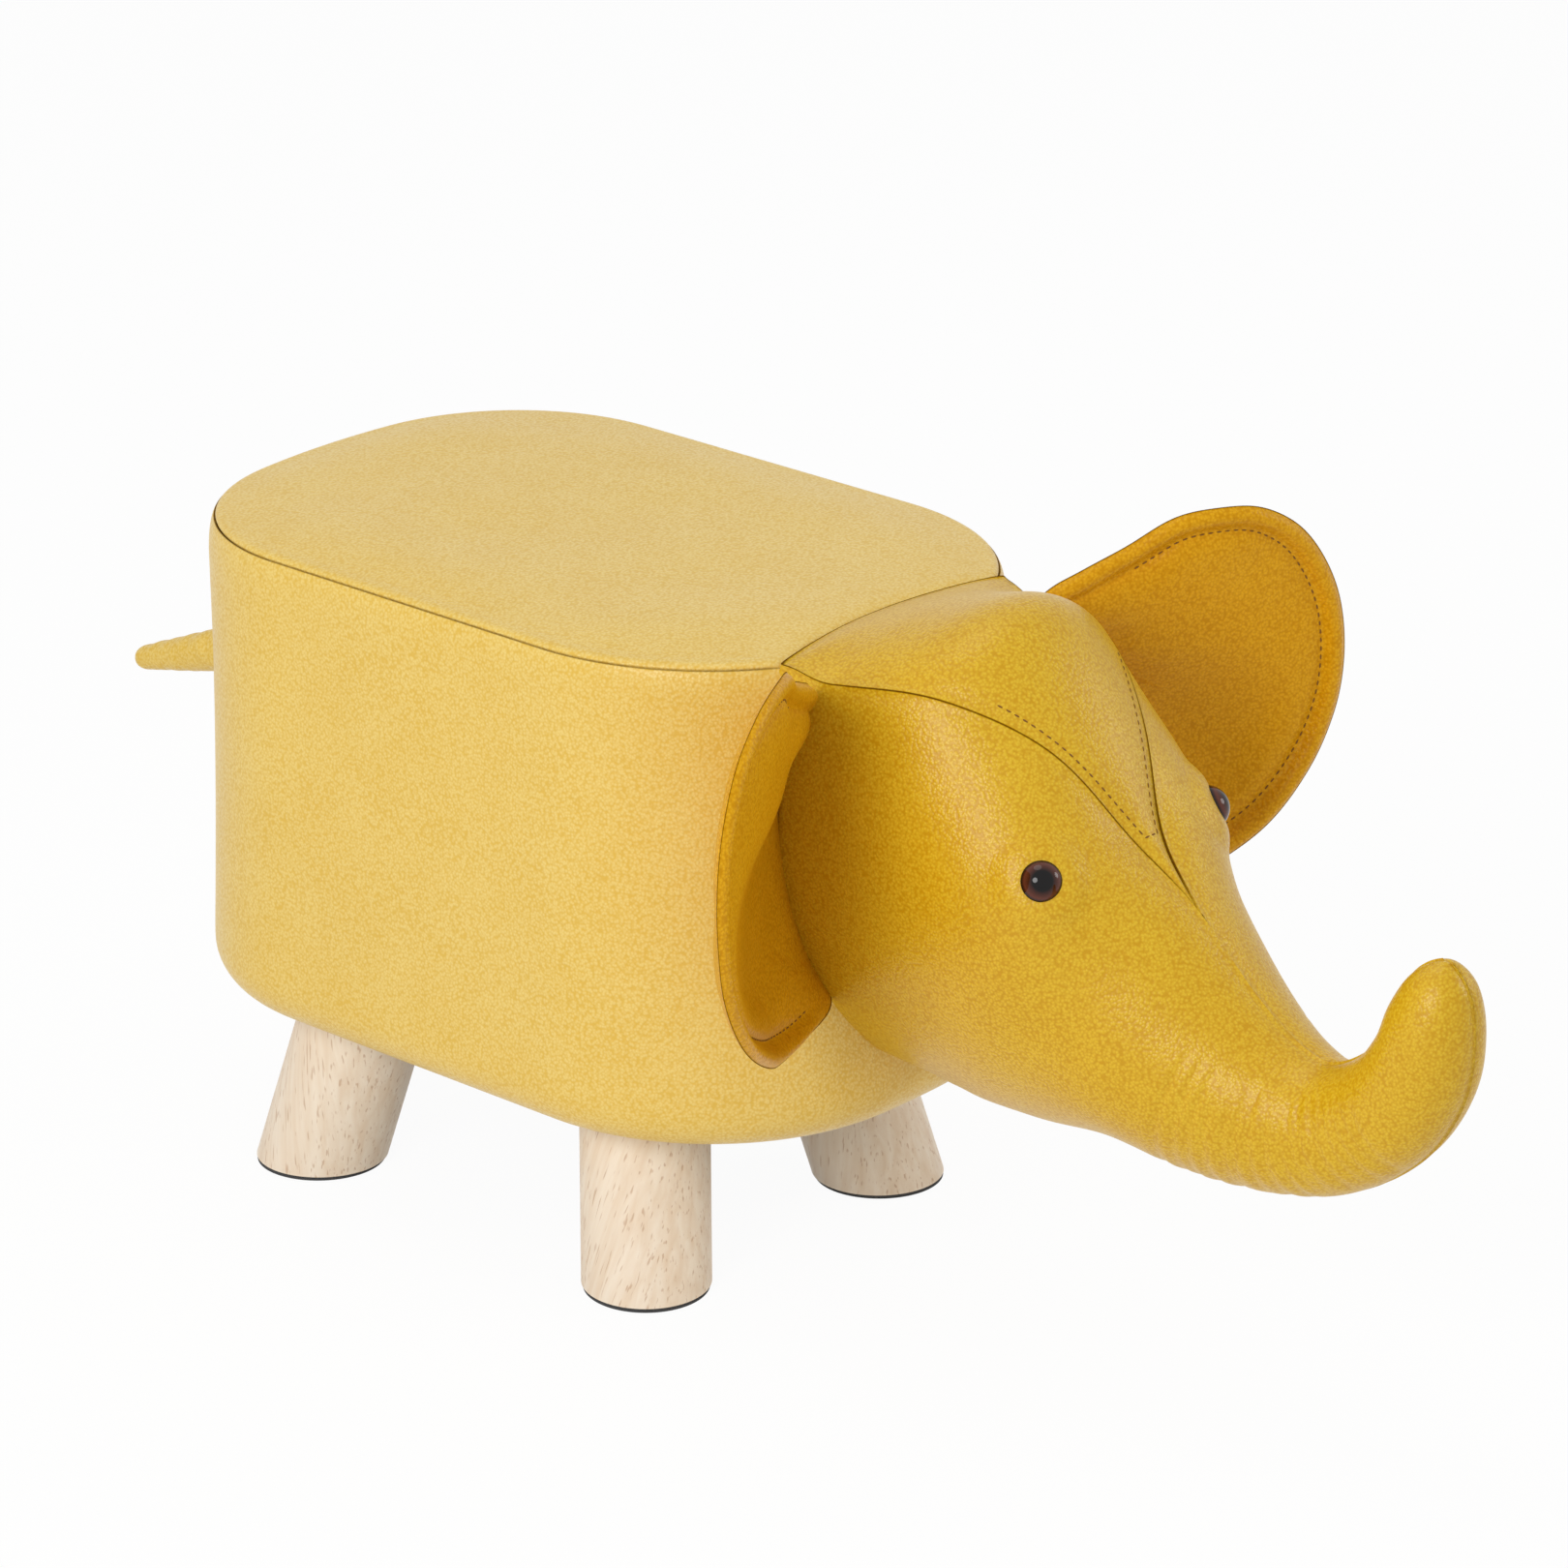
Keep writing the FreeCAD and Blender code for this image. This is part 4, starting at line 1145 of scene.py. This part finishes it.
class FOOTSTOOL_OT_stage(bpy.types.Operator):
    """Pale floor, soft studio light and the camera"""
    bl_idname = "footstool.stage"
    bl_label = "Stage"

    def execute(self, context):
        scene = context.scene
        floor_half, floor_drop, white_share, fill_strength = 8, 0.3 * MM, 0.95, 0.52
        scene.view_settings.view_transform = "Standard"
        mesh = bmesh.new()
        bmesh.ops.create_grid(mesh, x_segments=1, y_segments=1, size=floor_half)
        bmesh.ops.translate(mesh, verts=mesh.verts, vec=(0, 0, -floor_drop))
        floor = placed("studio_floor", mesh)
        paint, tree, shader = finish_named("white_studio_floor")
        tree.nodes.remove(shader)
        share = add(tree, "ShaderNodeMath", {0: white_rays(tree), 1: white_share},
                    operation="MULTIPLY")
        matt = add(tree, "ShaderNodeBsdfDiffuse", {"Color": rgba(linear("#F4F4F2"))})
        white = add(tree, "ShaderNodeEmission", {"Color": (1, 1, 1, 1), "Strength": 1.0})
        mixed = add(tree, "ShaderNodeMixShader", {0: share.outputs[0], 1: matt.outputs[0],
                                                  2: white.outputs[0]})
        output = next(n for n in tree.nodes if n.type == "OUTPUT_MATERIAL")
        tree.links.new(mixed.outputs[0], output.inputs["Surface"])
        floor.data.materials.append(paint)

        world = bpy.data.worlds.new("studio")
        scene.world = world
        world.use_nodes = True
        tree = world.node_tree
        tree.nodes.clear()
        fill = add(tree, "ShaderNodeBackground", {"Color": (1, 1, 1, 1), "Strength": fill_strength})
        white = add(tree, "ShaderNodeBackground", {"Color": (1, 1, 1, 1), "Strength": 1.0})
        mixed = add(tree, "ShaderNodeMixShader", {0: white_rays(tree), 1: fill.outputs[0],
                                                  2: white.outputs[0]})
        add(tree, "ShaderNodeOutputWorld", {"Surface": mixed.outputs[0]})

        # The camera was fitted to the seat's seam, the body's outline and the feet.
        target, distance, lens_mm, sensor_mm = Vector((0.018484, 0, 0.225)), 3.1203, 158.45, 36.0
        turn, rise = math.radians(41.791), math.radians(21.671)
        back = Vector((math.sin(turn) * math.cos(rise), -math.cos(turn) * math.cos(rise),
                       math.sin(rise)))
        data = bpy.data.cameras.new("photo_camera")
        data.lens, data.sensor_width = lens_mm, sensor_mm
        camera = bpy.data.objects.new("photo_camera", data)
        camera.location = target + back * distance
        camera.rotation_euler = back.to_track_quat("Z", "Y").to_euler()
        scene.collection.objects.link(camera)
        scene.camera = camera

        right = Vector((math.cos(turn), math.sin(turn), 0))
        front = Vector((math.sin(turn), -math.cos(turn), 0))
        # Each lamp's place to the right, to the front and up from the target, its size and power.
        lamps = (("key_softbox", -1.0, 1.9, 1.1, 1.0, 25),
                 ("top_softbox", -0.3, -0.2, 2.1, 1.2, 7),
                 ("side_softbox", 2.2, -0.3, 0.8, 0.8, 8))
        for name, aside, ahead, above, size, power in lamps:
            spot = right * aside + front * ahead + Vector((0, 0, above))
            data = bpy.data.lights.new(name, "AREA")
            data.shape, data.size, data.energy = "DISK", size, power
            lamp = bpy.data.objects.new(name, data)
            lamp.location = target + spot
            lamp.rotation_euler = spot.to_track_quat("Z", "Y").to_euler()
            scene.collection.objects.link(lamp)
        return {"FINISHED"}


OPERATORS = (FOOTSTOOL_OT_body, FOOTSTOOL_OT_seat, FOOTSTOOL_OT_head, FOOTSTOOL_OT_ears,
             FOOTSTOOL_OT_tail, FOOTSTOOL_OT_topstitch, FOOTSTOOL_OT_wood_and_fittings,
             FOOTSTOOL_OT_stage)


class FOOTSTOOL_PT_panel(bpy.types.Panel):
    """Footstool pieces and their sizes"""
    bl_label = "Footstool"
    bl_idname = "FOOTSTOOL_PT_panel"
    bl_space_type = "VIEW_3D"
    bl_region_type = "UI"
    bl_category = "Footstool"

    def draw(self, context):
        for group in (context.scene.footstool_sizes, context.scene.footstool_colours):
            for name in group.__annotations__:
                self.layout.prop(group, name)
        for operator in OPERATORS:
            self.layout.operator(operator.bl_idname)


CLASSES = (FootstoolSizes, FootstoolColours, *OPERATORS, FOOTSTOOL_PT_panel)


def register():
    for made in CLASSES:
        bpy.utils.register_class(made)
    bpy.types.Scene.footstool_sizes = bpy.props.PointerProperty(type=FootstoolSizes)
    bpy.types.Scene.footstool_colours = bpy.props.PointerProperty(type=FootstoolColours)


def unregister():
    del bpy.types.Scene.footstool_colours
    del bpy.types.Scene.footstool_sizes
    for made in reversed(CLASSES):
        bpy.utils.unregister_class(made)


def main():
    register()
    bpy.ops.footstool.body()
    bpy.ops.footstool.seat()
    bpy.ops.footstool.head()
    bpy.ops.footstool.ears()
    bpy.ops.footstool.tail()
    bpy.ops.footstool.topstitch()
    bpy.ops.footstool.wood_and_fittings()
    bpy.ops.footstool.stage()


if __name__ == "__main__":
    main()
